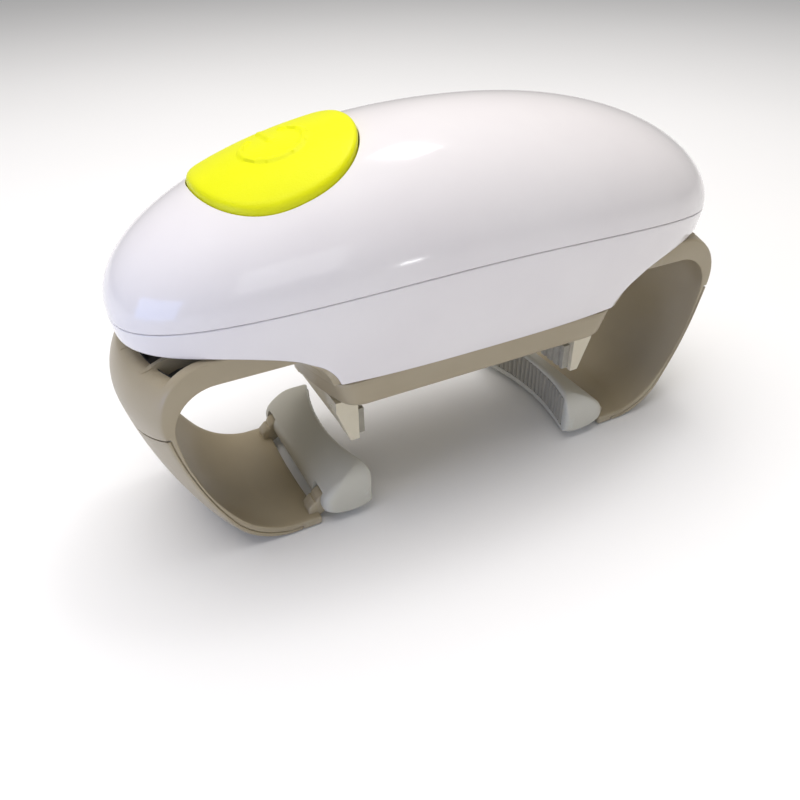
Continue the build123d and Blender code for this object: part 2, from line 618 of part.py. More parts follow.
def make_jaw_carrier():
    """Beam under the turntable with the channel that both jaws' racks slide in."""
    beam = block((-BEAM_HALF_LENGTH, BEAM_HALF_LENGTH), (-BEAM_HALF_WIDTH, BEAM_HALF_WIDTH),
                 (BEAM_BOTTOM, BEAM_TOP))
    beam -= block((-60, 60), (-CHANNEL_HALF_WIDTH, CHANNEL_HALF_WIDTH), (RACK_BOTTOM - 0.2, BEAM_TOP + 1))
    for turn in (0, 180):
        slot = block((14.5, 60), (-CHANNEL_HALF_WIDTH, -5.8), (BEAM_BOTTOM - 1, BEAM_TOP))
        beam -= Rot(0, 0, turn) * slot
    for spot in corners(*CARRIER_SCREWS):
        beam -= tube(1.0, 0.0, BEAM_BOTTOM - 1, BEAM_TOP + 1, spot)
        beam -= tube(1.7, 0.0, BEAM_BOTTOM - 1, BEAM_BOTTOM + 1.2, spot)
    beam += tube(1.5, 0.0, RACK_BOTTOM - 1, RACK_TOP)
    return beam


def make_turntable():
    table = tube(HUB_R, 0.0, BEAM_TOP, HUB_TOP) + tube(FLANGE_R, 0.0, HUB_TOP - 1.9, HUB_TOP)
    table += tube(6.0, 0.0, HUB_TOP, HUB_TOP + 3)
    table -= tube(SHAFT_R, 0.0, BEAM_TOP + 1.5, SEAM_Z)
    for spot in corners(*CARRIER_SCREWS):
        table -= tube(0.8, 0.0, BEAM_TOP - 1, BEAM_TOP + 3.5, spot)
    return table


# --------------------------------------------------------------------------------------------
# Screws, electrical pieces
# --------------------------------------------------------------------------------------------
def screw(at, head_z, length, radius, head_r, head_h, up=True):
    """Pan-head screw with a cross recess. It starts at its head's outer face and points up or down."""
    sign = 1 if up else -1
    neck = head_z + sign * head_h
    body = tube(head_r, 0.0, min(head_z, neck), max(head_z, neck), at)
    tip = head_z + sign * length
    body += tube(radius, 0.0, min(head_z, tip), max(head_z, tip), at)
    for angle in (0, 90):
        body -= Pos(at[0], at[1], head_z) * Rot(0, 0, angle) * Box(head_r * 1.2, 0.5, head_h)
    return body.solid()


def screw_group(spots, *size):
    return Compound(children=[screw(spot, *size) for spot in spots])


def cell(y):
    body = Rot(0, 90, 0) * Cylinder(CELL_R, CELL_LENGTH - 1.0)
    body = Pos(CELL_X + CELL_LENGTH / 2 - 0.5, y, CELL_Z) * body
    nub = Pos(CELL_X + CELL_LENGTH - 0.5, y, CELL_Z) * Rot(0, 90, 0) * Cylinder(2.6, 1.0)
    return (body + nub).solid()


def make_cells():
    return Compound(children=[cell(-CELL_R - 0.1), cell(CELL_R + 0.1)])


def make_cradle():
    """Tray that holds the two cells, open towards the hatch."""
    low = GEARBOX_COVER_Z[1] + 0.3
    end = CELL_X + CELL_LENGTH + 2.2
    cradle = block((CELL_X - 1.6, end), (-17.0, 15.2), (low, low + 1.0))
    cradle += block((CELL_X - 1.6, end), (-17.0, -15.6), (low, CELL_Z + 2))
    cradle += block((end - 1.2, end), (-17.0, 15.2), (low, CELL_Z + 3))
    cradle += block((CELL_X - 1.6, CELL_X - 0.6), (-17.0, 15.2), (low, CELL_Z + 5))
    return cradle


def make_contacts():
    """Flat contacts at the cells' ends, one of them bridging both cells."""
    plates = [block((CELL_X - 0.55, CELL_X - 0.05), (-13, 13), (CELL_Z - 4, CELL_Z + 4)).solid()]
    for y in (-CELL_R - 0.1, CELL_R + 0.1):
        x = CELL_X + CELL_LENGTH + 0.05
        plates.append(block((x, x + 0.5), (y - 4, y + 4), (CELL_Z - 4, CELL_Z + 2.5)).solid())
    return Compound(children=plates)


def make_motor():
    low = GEARBOX_COVER_Z[1] + 0.05
    can = tube(MOTOR_R, 0.0, low, low + MOTOR_HEIGHT - 2, MOTOR_AXIS)
    can += tube(5.0, 0.0, low - 1.2, low + 1, MOTOR_AXIS)
    can += tube(9.6, 0.0, low + 2, low + MOTOR_HEIGHT, MOTOR_AXIS)
    can -= tube(1.0 + RUN, 0.0, low - 2, low + 3, MOTOR_AXIS)
    return can


def make_board():
    board = block((-63, -30), (-13, 13), (BOARD_Z, BOARD_Z + 1.6))
    for x, y, size in ((-58, 6, 5), (-35, -7, 6), (-36, 7, 4)):
        sides = (x - size / 2, x + size / 2), (y - size / 3, y + size / 3)
        board += block(*sides, (BOARD_Z + 1, BOARD_Z + 3.4))
    return board


def make_switch():
    low = BOARD_Z + 1.6
    body = block((BUTTON_X - 3, BUTTON_X + 3), (-3, 3), (low, low + 2.2))
    return body + tube(1.6, 0.0, low, low + 2.9, (BUTTON_X, 0))


# --------------------------------------------------------------------------------------------
# All nodes
# --------------------------------------------------------------------------------------------
def both_sides(nodes, name, solid):
    """The +X piece, and the same piece turned half a turn for the other side."""
    nodes["right_" + name] = solid
    nodes["left_" + name] = Rot(0, 0, 180) * solid


def make_gears(nodes):
    centre = (0, 0)
    second_turn = mesh_turn(DRIVE_TEETH, 0.0, centre, 10, SECOND_AXIS)
    first_turn = mesh_turn(35, second_turn, SECOND_AXIS, 10, FIRST_AXIS)
    motor_turn = mesh_turn(30, first_turn, FIRST_AXIS, 10, MOTOR_AXIS)
    nodes["drive_gear"] = gear(DRIVE_TEETH, COARSE, *LAYER_SLOW, SHAFT_R)
    nodes["drive_shaft"] = tube(SHAFT_R, 0.0, BEAM_TOP + 1.5, LAYER_SLOW[1])
    nodes["second_gear"] = gear(35, FINE, *LAYER_MIDDLE, 1.5 + RUN, SECOND_AXIS, second_turn)
    nodes["second_gear"] += gear(10, COARSE, LAYER_SLOW[0] + 0.1, LAYER_MIDDLE[0], 1.5 + RUN, SECOND_AXIS,
                                 second_turn)
    nodes["first_gear"] = gear(30, FINE, *LAYER_FAST, 1.5 + RUN, FIRST_AXIS, first_turn)
    small_gear = gear(10, FINE, LAYER_MIDDLE[0], LAYER_FAST[0], 1.5 + RUN, FIRST_AXIS, first_turn)
    nodes["first_gear"] += small_gear
    pinion = gear(10, FINE, *LAYER_FAST, 0.0, MOTOR_AXIS, motor_turn)
    nodes["motor_pinion"] = pinion + tube(1.0, 0.0, LAYER_FAST[0], SEAM_Z + 1.5, MOTOR_AXIS)
    nodes["arm_pinion"] = gear(ARM_PINION_TEETH, COARSE, *LAYER_ARM, SHAFT_R + RUN)
    nodes["jaw_pinion"] = gear(JAW_PINION_TEETH, COARSE, RACK_BOTTOM, RACK_TOP, 1.5 + RUN)
    long_axle = tube(1.5, 0.0, GEARBOX_BASE_Z[0], GEARBOX_COVER_Z[1], SECOND_AXIS)
    short_axle = tube(1.5, 0.0, LAYER_MIDDLE[0], GEARBOX_COVER_Z[1], FIRST_AXIS)
    nodes["gear_axles"] = Compound(children=[long_axle.solid(), short_axle.solid()])


def make_nodes():
    nodes = {
        "upper_housing": make_upper_housing(),
        "lower_housing": make_lower_housing(),
        "battery_door": largest((dome() - dome(WALL)) & door_prism(DOOR_GAP)),
        "base_plate": make_base_plate(),
        "guide_plate": make_guide_plate(),
        "gearbox_base": make_gearbox_base(),
        "gearbox_cover": make_gearbox_cover(),
        "shaft_bush": tube(5.0, SHAFT_R + RUN, GEARBOX_BASE_Z[0], GEARBOX_BASE_Z[1]),
        "start_button": make_button(),
        "button_guide": make_button_guide(),
        "button_spring": coil(5.2, 0.35, SEAM_Z + 12.1, SEAM_Z + 22.4, 5, (BUTTON_X, 0)),
        "circuit_board": make_board(),
        "micro_switch": make_switch(),
        "motor": make_motor(),
        "battery_cells": make_cells(),
        "battery_cradle": make_cradle(),
        "battery_contacts": make_contacts(),
        "clutch_spring": coil(7.2, 0.5, HUB_TOP + 0.6, GUIDE_PLATE_Z[0] - 0.8, 3),
        "turntable": make_turntable(),
        "jaw_carrier": make_jaw_carrier(),
        "housing_screws": screw_group(corners(*HOUSING_SCREWS), LIP_Z + 0.1, 9.0, 1.05, 2.2, 1.0),
        "base_screws": screw_group(corners(*BASE_SCREWS), BASE_BOTTOM + 0.2, 14.4, 1.0, 2.4, 1.4),
        "chassis_screws": screw_group(corners(*CHASSIS_SCREWS), GUIDE_PLATE_Z[0] - 1.2, 9.0, 0.8, 1.5, 1.2),
        "carrier_screws": screw_group(corners(*CARRIER_SCREWS), BEAM_BOTTOM, 7.0, 0.8, 1.6, 1.1),
        "gearbox_screws": screw_group(GEARBOX_POSTS, GEARBOX_COVER_Z[1] + 0.8, 6.0, 0.8, 1.7, 0.8, False),
    }
    make_gears(nodes)
    both_sides(nodes, "arm", make_arm())
    both_sides(nodes, "arm_cover", make_arm_cover())
    both_sides(nodes, "paddle", make_paddle())
    both_sides(nodes, "paddle_pad", make_paddle_pad())
    both_sides(nodes, "hinge_pin", make_hinge_pin())
    both_sides(nodes, "jaw", make_jaw())
    both_sides(nodes, "jaw_pad", make_jaw_pad())
    return nodes


for node_name, shape in make_nodes().items():
    export_step(shape, "parts/" + node_name + ".step")
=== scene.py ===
import math
import bmesh
import bpy
import numpy as np
from mathutils import Matrix, Vector
from mathutils.geometry import delaunay_2d_cdt


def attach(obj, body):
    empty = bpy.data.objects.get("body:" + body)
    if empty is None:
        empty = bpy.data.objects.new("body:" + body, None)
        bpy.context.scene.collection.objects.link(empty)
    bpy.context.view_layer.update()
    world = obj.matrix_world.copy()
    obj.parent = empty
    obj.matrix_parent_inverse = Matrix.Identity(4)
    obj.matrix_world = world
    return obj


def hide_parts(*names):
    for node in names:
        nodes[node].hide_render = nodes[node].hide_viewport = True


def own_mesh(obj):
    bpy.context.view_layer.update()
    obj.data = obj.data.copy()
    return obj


# Looks of a battery-powered jar opener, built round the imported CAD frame.
# Shapes are worked out in millimetres and turned to metres when a mesh is made.
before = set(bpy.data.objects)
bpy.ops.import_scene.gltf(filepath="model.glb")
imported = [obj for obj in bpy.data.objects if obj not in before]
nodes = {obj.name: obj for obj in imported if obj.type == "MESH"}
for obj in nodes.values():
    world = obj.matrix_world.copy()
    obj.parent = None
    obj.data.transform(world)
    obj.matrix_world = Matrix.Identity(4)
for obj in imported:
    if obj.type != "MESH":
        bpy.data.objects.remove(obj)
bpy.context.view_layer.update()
MM = 0.001

# --- Sizes shared by several pieces, in mm ---
SEAM_Z = 74.7       # height of the parting line at mid length
HALF_LENGTH = 90.0
HALF_WIDTH = 35.3
PLAN_POWER = 2.505
SEAM_DROOP = 8.4
DOME_HEIGHT = 29.4
DOME_POWER = 2.26
WALL = 2.0
BUTTON_X = -45.7
BUTTON_RX = 19.9
BUTTON_RY = 21.3
BUTTON_POWER = 2.25
BUTTON_PROUD = 1.8
SPRING_X = -46.0
DOOR_X = (12.5, 64.0)
DOOR_Z = (SEAM_Z + 0.8, SEAM_Z + 15.4)


# --- Mesh helpers ---
def add_object(name, data):
    item = bpy.data.objects.new(name, data)
    bpy.context.scene.collection.objects.link(item)
    return item


def add_piece(name, shape, slot, body, replaces=(), normals=None, angle=40.0):
    """Makes a mesh object from points in mm and faces, with the slot's material, on a CAD body."""
    points, faces = shape
    mesh = bpy.data.meshes.new(name)
    scaled = [(p[0] * MM, p[1] * MM, p[2] * MM) for p in points]
    mesh.from_pydata(scaled, [], faces)
    mesh.validate()
    bm = bmesh.new()
    bm.from_mesh(mesh)
    bmesh.ops.recalc_face_normals(bm, faces=bm.faces)
    bm.to_mesh(mesh)
    bm.free()
    mesh.shade_smooth()
    mesh.set_sharp_from_angle(angle=math.radians(angle))
    if normals is not None:
        mesh.normals_split_custom_set_from_vertices([tuple(n) for n in normals])
    piece = add_object(name, mesh)
    mesh.materials.append(SLOT_MATERIALS[slot])
    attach(piece, body)
    if replaces:
        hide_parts(*replaces)
    return piece


def power_curve(share, power):
    return max(0.0, 1 - abs(share) ** power) ** (1 / power)


def seam_height(x):
    return SEAM_Z - SEAM_DROOP * (x / HALF_LENGTH) ** 2


def outline_point(turn, half_x, half_y, power=PLAN_POWER):
    c, s = math.cos(turn), math.sin(turn)
    return (math.copysign(abs(c) ** (2 / power), c) * half_x,
            math.copysign(abs(s) ** (2 / power), s) * half_y)


def even_outline(count, half_x, half_y, power, centre_x=0.0):
    """Points of a superellipse, evenly spaced along it."""
    fine = [outline_point(2 * math.pi * k / 2400, half_x, half_y, power) for k in range(2400)]
    ring = resample([Vector((x + centre_x, y, 0)) for x, y in fine], count, True)
    return [(p.x, p.y) for p in ring]


def resample(points, count, closed=False):
    """Points evenly spaced along a polyline."""
    chain = list(points) + ([points[0]] if closed else [])
    lengths = [0.0]
    for a, b in zip(chain, chain[1:]):
        lengths.append(lengths[-1] + (b - a).length)
    result = []
    segment = 0
    steps = count if closed else count - 1
    for k in range(count):
        target = lengths[-1] * k / steps
        while segment < len(chain) - 2 and lengths[segment + 1] < target:
            segment += 1
        span = lengths[segment + 1] - lengths[segment]
        share = 0.0 if span < 1e-9 else (target - lengths[segment]) / span
        result.append(chain[segment].lerp(chain[segment + 1], min(1.0, share)))
    return result


# --- Dome surface. Its flat map is the plan outline with distances taken along the surface. ---
def plan_radius(x, y):
    return (abs(x / HALF_LENGTH) ** PLAN_POWER + abs(y / HALF_WIDTH) ** PLAN_POWER) ** (1 / PLAN_POWER)


def to_map(x, y):
    radius = min(1.0, plan_radius(x, y))
    if radius < 1e-6:
        return x, y
    grown = 2 / math.pi * math.asin(radius) / radius
    return x * grown, y * grown


def from_map(u, v):
    radius = plan_radius(u, v)
    if radius < 1e-6:
        return u, v
    shrunk = math.sin(min(1.0, radius) * math.pi / 2) / radius
    return u * shrunk, v * shrunk


def dome_height(x, y):
    half = HALF_WIDTH * power_curve(x / HALF_LENGTH, PLAN_POWER)
    share = 1.0 if half < 1e-6 else abs(y) / half
    height = DOME_HEIGHT * power_curve(x / HALF_LENGTH, DOME_POWER)
    return seam_height(x) + height * power_curve(min(1.0, share), 2.0)


def dome_point(u, v):
    x, y = from_map(u, v)
    return Vector((x, y, dome_height(x, y)))


def dome_normal(u, v):
    """Outward normal of the dome, level at its rim."""
    near_rim = 0.985
    radius = plan_radius(u, v)
    if radius > near_rim:
        u, v = u * near_rim / radius, v * near_rim / radius
    step = 0.05
    along_u = dome_point(u + step, v) - dome_point(u - step, v)
    along_v = dome_point(u, v + step) - dome_point(u, v - step)
    normal = along_u.cross(along_v).normalized()
    if radius > near_rim:
        level = Vector((normal.x, normal.y, 0)).normalized()
        normal = normal.lerp(level, (radius - near_rim) / 0.015).normalized()
    return normal


def rounded_rectangle(low, high, radius, spacing):
    """Points of a rounded rectangle, evenly spaced."""
    corners = ((high[0], high[1], 0), (low[0], high[1], 90),
               (low[0], low[1], 180), (high[0], low[1], 270))
    fine = []
    for x, z, start in corners:
        cx = x - radius if x == high[0] else x + radius
        cz = z - radius if z == high[1] else z + radius
        for step in range(13):
            angle = math.radians(start + 7.5 * step)
            fine.append(Vector((cx + radius * math.cos(angle), cz + radius * math.sin(angle), 0)))
    total = sum((a - b).length for a, b in zip(fine, fine[1:] + fine[:1]))
    return [(p.x, p.y) for p in resample(fine, int(total / spacing), True)]


def back_of_dome(x, z):
    """Map point of the dome's back at a given X and height."""
    half = HALF_WIDTH * power_curve(x / HALF_LENGTH, PLAN_POWER)
    height = DOME_HEIGHT * power_curve(x / HALF_LENGTH, DOME_POWER)
    share = min(0.9999, max(0.0, (z - seam_height(x)) / height))
    return to_map(x, half * math.sqrt(1 - share ** 2))


def inside(ring, points):
    """Whether each of some flat points lies inside a closed ring."""
    result = np.zeros(len(points), bool)
    for (ax, ay), (bx, by) in zip(ring, ring[1:] + ring[:1]):
        if ay == by:
            continue
        between = (points[:, 1] < max(ay, by)) & (points[:, 1] >= min(ay, by))
        crossing = ax + (points[:, 1] - ay) * (bx - ax) / (by - ay)
        result ^= between & (points[:, 0] < crossing)
    return result


def patch(outer, holes, spacing):
    """Even triangles of a flat region. Returns map points, triangles and the rings' vertex numbers."""
    rings = [outer] + holes
    points = []
    loops = []
    edges = []
    for ring in rings:
        first = len(points)
        points += [Vector(p) for p in ring]
        loops.append(list(range(first, len(points))))
        edges += [(a, b) for a, b in zip(loops[-1], loops[-1][1:] + loops[-1][:1])]
    fixed = np.array([tuple(p) for p in points])
    low, high = fixed.min(0), fixed.max(0)
    row_step = spacing * math.sqrt(3) / 2
    rows = int((high[1] - low[1]) / row_step)
    for row in range(rows + 1):
        v = low[1] + row * row_step
        shift = spacing / 2 if row % 2 else 0.0
        for column in range(int((high[0] - low[0]) / spacing) + 1):
            u = low[0] + shift + column * spacing
            near = np.min(np.hypot(fixed[:, 0] - u, fixed[:, 1] - v))
            if near > spacing * 0.6:
                points.append(Vector((u, v)))
    found = delaunay_2d_cdt(points, edges, [], 0, 1e-7)
    flat, triangles, origin = found[0], found[2], found[3]
    number = {}
    for new, olds in enumerate(origin):
        for old in olds:
            number[old] = new
    middles = np.array([[sum(flat[k][i] for k in t) / 3 for i in (0, 1)] for t in triangles])
    good = inside(outer, middles)
    for hole in holes:
        good &= ~inside(hole, middles)
    kept = [tuple(t) for t, use in zip(triangles, good) if use]
    return flat, kept, [[number[k] for k in loop] for loop in loops]


def rim_rows(point, normal, away, down, radius, depth):
    """Positions and normals of a rounded edge that leaves a surface along away and turns to down."""
    steps = 4
    level = math.sqrt(max(0.1, 1 - away.dot(down) ** 2))
    corner = point + away * (radius / level)
    end = corner + down * radius
    binormal = away.cross(normal)
    rows = []
    for step in range(1, steps + 1):
        t = step / steps
        place = point * (1 - t) ** 2 + corner * 2 * t * (1 - t) + end * t ** 2
        tangent = (corner - point) * (1 - t) + (end - corner) * t
        rows.append((place, binormal.cross(tangent).normalized()))
    rows.append((end + down * depth, rows[-1][1]))
    return rows


def closed_shell(points, normals, triangles, loops, thickness, rims):
    """Thick shell from an open patch. Each loop gets a rounded rim: direction, radius and depth.

    Without a direction the rim turns square to the surface. Returns the shape and its normals.
    """
    used = sorted({k for t in triangles for k in t})
    number = {old: new for new, old in enumerate(used)}
    count = len(used)
    verts = [points[k] for k in used] + [points[k] - normals[k] * thickness for k in used]
    shading = [normals[k] for k in used] + [-normals[k] for k in used]
    faces = [tuple(number[k] for k in t) for t in triangles]
    faces += [tuple(k + count for k in reversed(f)) for f in faces]
    middles = {}
    for t in triangles:
        middle = (points[t[0]] + points[t[1]] + points[t[2]]) / 3
        for k in t:
            middles.setdefault(k, []).append(middle)
    for loop, (down, radius, depth) in zip(loops, rims):
        size = len(loop)
        columns = []
        for i, k in enumerate(loop):
            along = points[loop[(i + 1) % size]] - points[loop[i - 1]]
            away = along.cross(normals[k]).normalized()
            inward = sum(middles[k], Vector()) / len(middles[k]) - points[k]
            if away.dot(inward) > 0:
                away = -away
            rows = rim_rows(points[k], normals[k], away, down or -normals[k], radius, depth)
            first = len(verts)
            verts += [row[0] for row in rows]
            shading += [row[1] for row in rows]
            columns.append([number[k], *range(first, first + len(rows)), number[k] + count])
        for a, b in zip(columns, columns[1:] + columns[:1]):
            for j in range(len(a) - 1):
                faces.append((a[j], b[j], b[j + 1], a[j + 1]))
    return (verts, faces), shading


def flat_cap(ring, first):
    """Triangles that fill a flat closed ring. Returns new points, and faces that number them from -1 down."""
    normal = Vector()
    for k, p in enumerate(ring):
        normal += ring[k - 1].cross(p)
    normal.normalize()
    across = normal.orthogonal().normalized()
    up = normal.cross(across)
    middle = sum(ring, Vector()) / len(ring)
    flat = [Vector(((p - middle).dot(across), (p - middle).dot(up))) for p in ring]
    edges = [(k, (k + 1) % len(ring)) for k in range(len(ring))]
    spots, _, triangles, origin, _, _ = delaunay_2d_cdt(flat, edges, [], 0, 1e-5)
    centres = np.array([[sum(spots[k][i] for k in t) / 3 for i in (0, 1)] for t in triangles])
    good = inside([(p.x, p.y) for p in flat], centres)
    number, extra = {}, []
    for new, olds in enumerate(origin):
        if olds:
            number[new] = first + olds[0]
        else:
            extra.append(middle + across * spots[new].x + up * spots[new].y)
            number[new] = -len(extra)
    return extra, [tuple(number[k] for k in t) for t, use in zip(triangles, good) if use]


def loft(rings, wrap=False):
    """Quads between equal rings of points, with flat ends or joined into a hoop."""
    size = len(rings[0])
    verts = [p for ring in rings for p in ring]
    faces = []
    last = len(rings) if wrap else len(rings) - 1
    for i in range(last):
        a, b = i * size, ((i + 1) % len(rings)) * size
        for j in range(size):
            k = (j + 1) % size
            faces.append((a + j, a + k, b + k, b + j))
    if not wrap:
        for ring, first in ((rings[0], 0), (rings[-1], size * (len(rings) - 1))):
            extra, triangles = flat_cap(ring, first)
            base = len(verts) - 1
            faces += [tuple(k if k >= 0 else base - k for k in t) for t in triangles]
            verts += extra
    return verts, faces


def join_parts(*parts):
    verts, faces = [], []
    for more, quads in parts:
        faces += [tuple(k + len(verts) for k in f) for f in quads]
        verts += list(more)
    return verts, faces


def smooth_step(low, high, value):
    share = min(1.0, max(0.0, (value - low) / (high - low)))
    return share * share * (3 - 2 * share)


# --- Materials ---
def new_material(name):
    material = bpy.data.materials.new(name)
    material.use_nodes = True
    tree = material.node_tree
    tree.nodes.clear()
    out = tree.nodes.new("ShaderNodeOutputMaterial")
    shader = tree.nodes.new("ShaderNodeBsdfPrincipled")
    tree.links.new(shader.outputs[0], out.inputs[0])
    place = tree.nodes.new("ShaderNodeTexCoord")
    return material, tree, shader, place.outputs["Object"]


def feed(tree, inputs, values):
    """Sets inputs by name or number. A value that is a socket gets linked."""
    for key, value in values.items():
        if hasattr(value, "links"):
            tree.links.new(value, inputs[key])
        else:
            inputs[key].default_value = value


def noise(tree, place, per_metre, detail=3.0, rough=0.5):
    node = tree.nodes.new("ShaderNodeTexNoise")
    feed(tree, node.inputs, {"Scale": per_metre, "Detail": detail, "Roughness": rough, "Vector": place})
    return node.outputs["Fac"]


def spread(tree, value, low, high, start=0.3, stop=0.7):
    """Maps a noise's middle range to a range of values."""
    node = tree.nodes.new("ShaderNodeMapRange")
    feed(tree, node.inputs, {"From Min": start, "From Max": stop, "To Min": low, "To Max": high,
                             "Value": value})
    return node.outputs["Result"]


def mix_colours(tree, share, a, b):
    node = tree.nodes.new("ShaderNodeMix")
    node.data_type = "RGBA"
    a, b = [colour if hasattr(colour, "links") else (*colour, 1) for colour in (a, b)]
    feed(tree, node.inputs, {0: share, 6: a, 7: b})
    return node.outputs[2]


def add_bump(tree, shader, layers):
    """Chains bumps, each (height, depth in metres)."""
    last = None
    for height, depth in layers:
        node = tree.nodes.new("ShaderNodeBump")
        feed(tree, node.inputs, {"Strength": 1.0, "Distance": depth, "Height": height})
        if last is not None:
            feed(tree, node.inputs, {"Normal": last})
        last = node.outputs["Normal"]
    tree.links.new(last, shader.inputs["Normal"])


def moulded(name, colour, shade, rough, grain, grain_depth, edge_wear_and_highlight=None, coat=0.0, ior=1.47, dull=0.06):
    """Moulded plastic: faint colour drift, handling smudges, surface grain, and convex edges lightened in
    patches, partly rubbed wear and partly a painted highlight.
    """
    material, tree, shader, place = new_material(name)
    drift = spread(tree, noise(tree, place, 38, 4), 0.0, 1.0)
    base = mix_colours(tree, drift, colour, shade)
    # Convex edges get a lighter colour in patches: rubbed wear, and a painted highlight along the edges.
    if edge_wear_and_highlight:
        shape = tree.nodes.new("ShaderNodeNewGeometry")
        edge = spread(tree, shape.outputs["Pointiness"], 0.0, 0.55, 0.53, 0.60)
        patchy = spread(tree, noise(tree, place, 420, 5, 0.65), 0.0, 1.0, 0.42, 0.62)
        both = tree.nodes.new("ShaderNodeMath")
        both.operation = "MULTIPLY"
        feed(tree, both.inputs, {0: edge, 1: patchy})
        base = mix_colours(tree, both.outputs[0], base, edge_wear_and_highlight)
    smudge = spread(tree, noise(tree, place, 95, 6, 0.6), rough - dull / 2, rough + dull)
    feed(tree, shader.inputs, {"Base Color": base, "Roughness": smudge, "IOR": ior})
    if coat:
        feed(tree, shader.inputs, {"Coat Weight": coat, "Coat Roughness": 0.05})
    fine = noise(tree, place, grain, 2, 0.5)
    wave = noise(tree, place, 60, 2, 0.4)
    add_bump(tree, shader, [(wave, 0.00003), (fine, grain_depth)])
    return material


def metal(name, colour, shade, rough):
    """Metal with a faint colour drift, uneven shine and fine scratches."""
    material, tree, shader, place = new_material(name)
    drift = spread(tree, noise(tree, place, 160, 4), 0.0, 1.0)
    shine = spread(tree, noise(tree, place, 500, 5), rough, rough + 0.16)
    feed(tree, shader.inputs, {"Base Color": mix_colours(tree, drift, colour, shade), "Metallic": 1.0,
                               "Roughness": shine})
    add_bump(tree, shader, [(noise(tree, place, 2600, 3), 0.000012)])
    return material


# The sixth colour of each plastic is its lighter edge colour: rubbed wear and a painted edge highlight.
WHITE = moulded("gloss_white_plastic", (0.80, 0.765, 0.775), (0.835, 0.805, 0.81), 0.13, 2600, 0.0000015,
                (0.88, 0.87, 0.87), 0.35, 1.5, 0.04)
LIME = moulded("lime_button_plastic", (0.76, 0.78, 0.0), (0.82, 0.83, 0.0), 0.40, 2300, 0.00009,
               (0.84, 0.86, 0.03))
LIME.node_tree.nodes["Principled BSDF"].inputs["Specular IOR Level"].default_value = 0.4
TAUPE = moulded("taupe_plastic", (0.375, 0.315, 0.212), (0.41, 0.35, 0.245), 0.34, 3000, 0.000012,
                (0.48, 0.435, 0.34))
CREAM = moulded("cream_jaw_plastic", (0.67, 0.61, 0.465), (0.71, 0.65, 0.505), 0.40, 2800, 0.000014,
                (0.76, 0.71, 0.58))
PADDLE = moulded("paddle_plastic", (0.54, 0.53, 0.465), (0.58, 0.565, 0.50), 0.42, 2600, 0.000016,
                 (0.62, 0.63, 0.58))
RUBBER = moulded("grip_rubber", (0.33, 0.31, 0.26), (0.37, 0.35, 0.295), 0.62, 1900, 0.00003,
                 (0.44, 0.42, 0.36), 0.0, 1.52, 0.1)
DARK = moulded("dark_plastic", (0.035, 0.036, 0.038), (0.05, 0.05, 0.052), 0.42, 2600, 0.000016)
GEAR = moulded("gear_plastic", (0.62, 0.60, 0.52), (0.67, 0.65, 0.57), 0.45, 2600, 0.000012)
BOARD = moulded("board_green", (0.02, 0.14, 0.06), (0.03, 0.18, 0.08), 0.35, 2200, 0.000008)
WRAP = moulded("cell_wrap", (0.07, 0.10, 0.16), (0.09, 0.12, 0.19), 0.28, 2600, 0.000004)
STEEL = metal("steel", (0.60, 0.60, 0.61), (0.53, 0.53, 0.55), 0.26)
BRASS = metal("brass", (0.72, 0.54, 0.24), (0.64, 0.46, 0.20), 0.28)

SLOT_MATERIALS = {
    "gloss_white": WHITE, "lime": LIME, "taupe": TAUPE, "cream": CREAM, "paddle_plastic": PADDLE,
    "grip_rubber": RUBBER, "dark_plastic": DARK, "gear_plastic": GEAR, "steel": STEEL, "brass": BRASS,
    "board_green": BOARD, "cell_wrap": WRAP,
}

for node in nodes.values():
    taken = [slot.material.name for slot in node.material_slots if slot.material]
    key = next((k for k in SLOT_MATERIALS if taken and taken[0].startswith(k)), "dark_plastic")
    for slot in node.material_slots:
        slot.material = SLOT_MATERIALS[key]

for name in ("right_jaw", "left_jaw"):
    weld = nodes[name].modifiers.new("weld", "WELD")
    weld.merge_threshold = 0.02 * MM
    bevel = nodes[name].modifiers.new("soft_edges", "BEVEL")
    bevel.width = 0.4 * MM
    bevel.segments = 3
    bevel.limit_method = "ANGLE"
    bevel.angle_limit = math.radians(35)
    bevel.harden_normals = True


# --- Upper housing ---
SEAM_LIFT = 0.35    # the dome's rim stands this far above the parting line
DOWN = Vector((0, 0, -1))


def button_outline(extra, count):
    return even_outline(count, BUTTON_RX + extra, BUTTON_RY + extra, BUTTON_POWER, BUTTON_X)


def make_upper_housing():
    rim = even_outline(380, HALF_LENGTH, HALF_WIDTH, PLAN_POWER)
    hole = [to_map(x, y) for x, y in button_outline(0.6, 150)]
    opening = rounded_rectangle((DOOR_X[0] - 0.35, DOOR_Z[0] - 0.1), (DOOR_X[1] + 0.35, DOOR_Z[1] + 0.35),
                                3.2, 1.1)
    door = [back_of_dome(x, z - SEAM_LIFT) for x, z in opening]

    flat, triangles, loops = patch(rim, [hole, door], 1.5)
    lift = Vector((0, 0, SEAM_LIFT))
    points = [dome_point(p.x, p.y) + lift for p in flat]
    normals = [dome_normal(p.x, p.y) for p in flat]
    rims = [(None, 0.3, WALL - 0.4), (DOWN, 0.35, 1.6), (None, 0.3, WALL - 0.4)]
    shape, shading = closed_shell(points, normals, triangles, loops, WALL, rims)
    add_piece("upper_housing_shell", shape, "gloss_white", "housing", ["upper_housing"], shading)


make_upper_housing()

# --- Battery hatch, with a ribbed thumb dimple ---
DIMPLE = (21.5, 8.6)            # its middle: X, and height above the seam's middle
DIMPLE_HALF = (5.5, 4.2)
DIMPLE_RIB_PITCH = 2.1


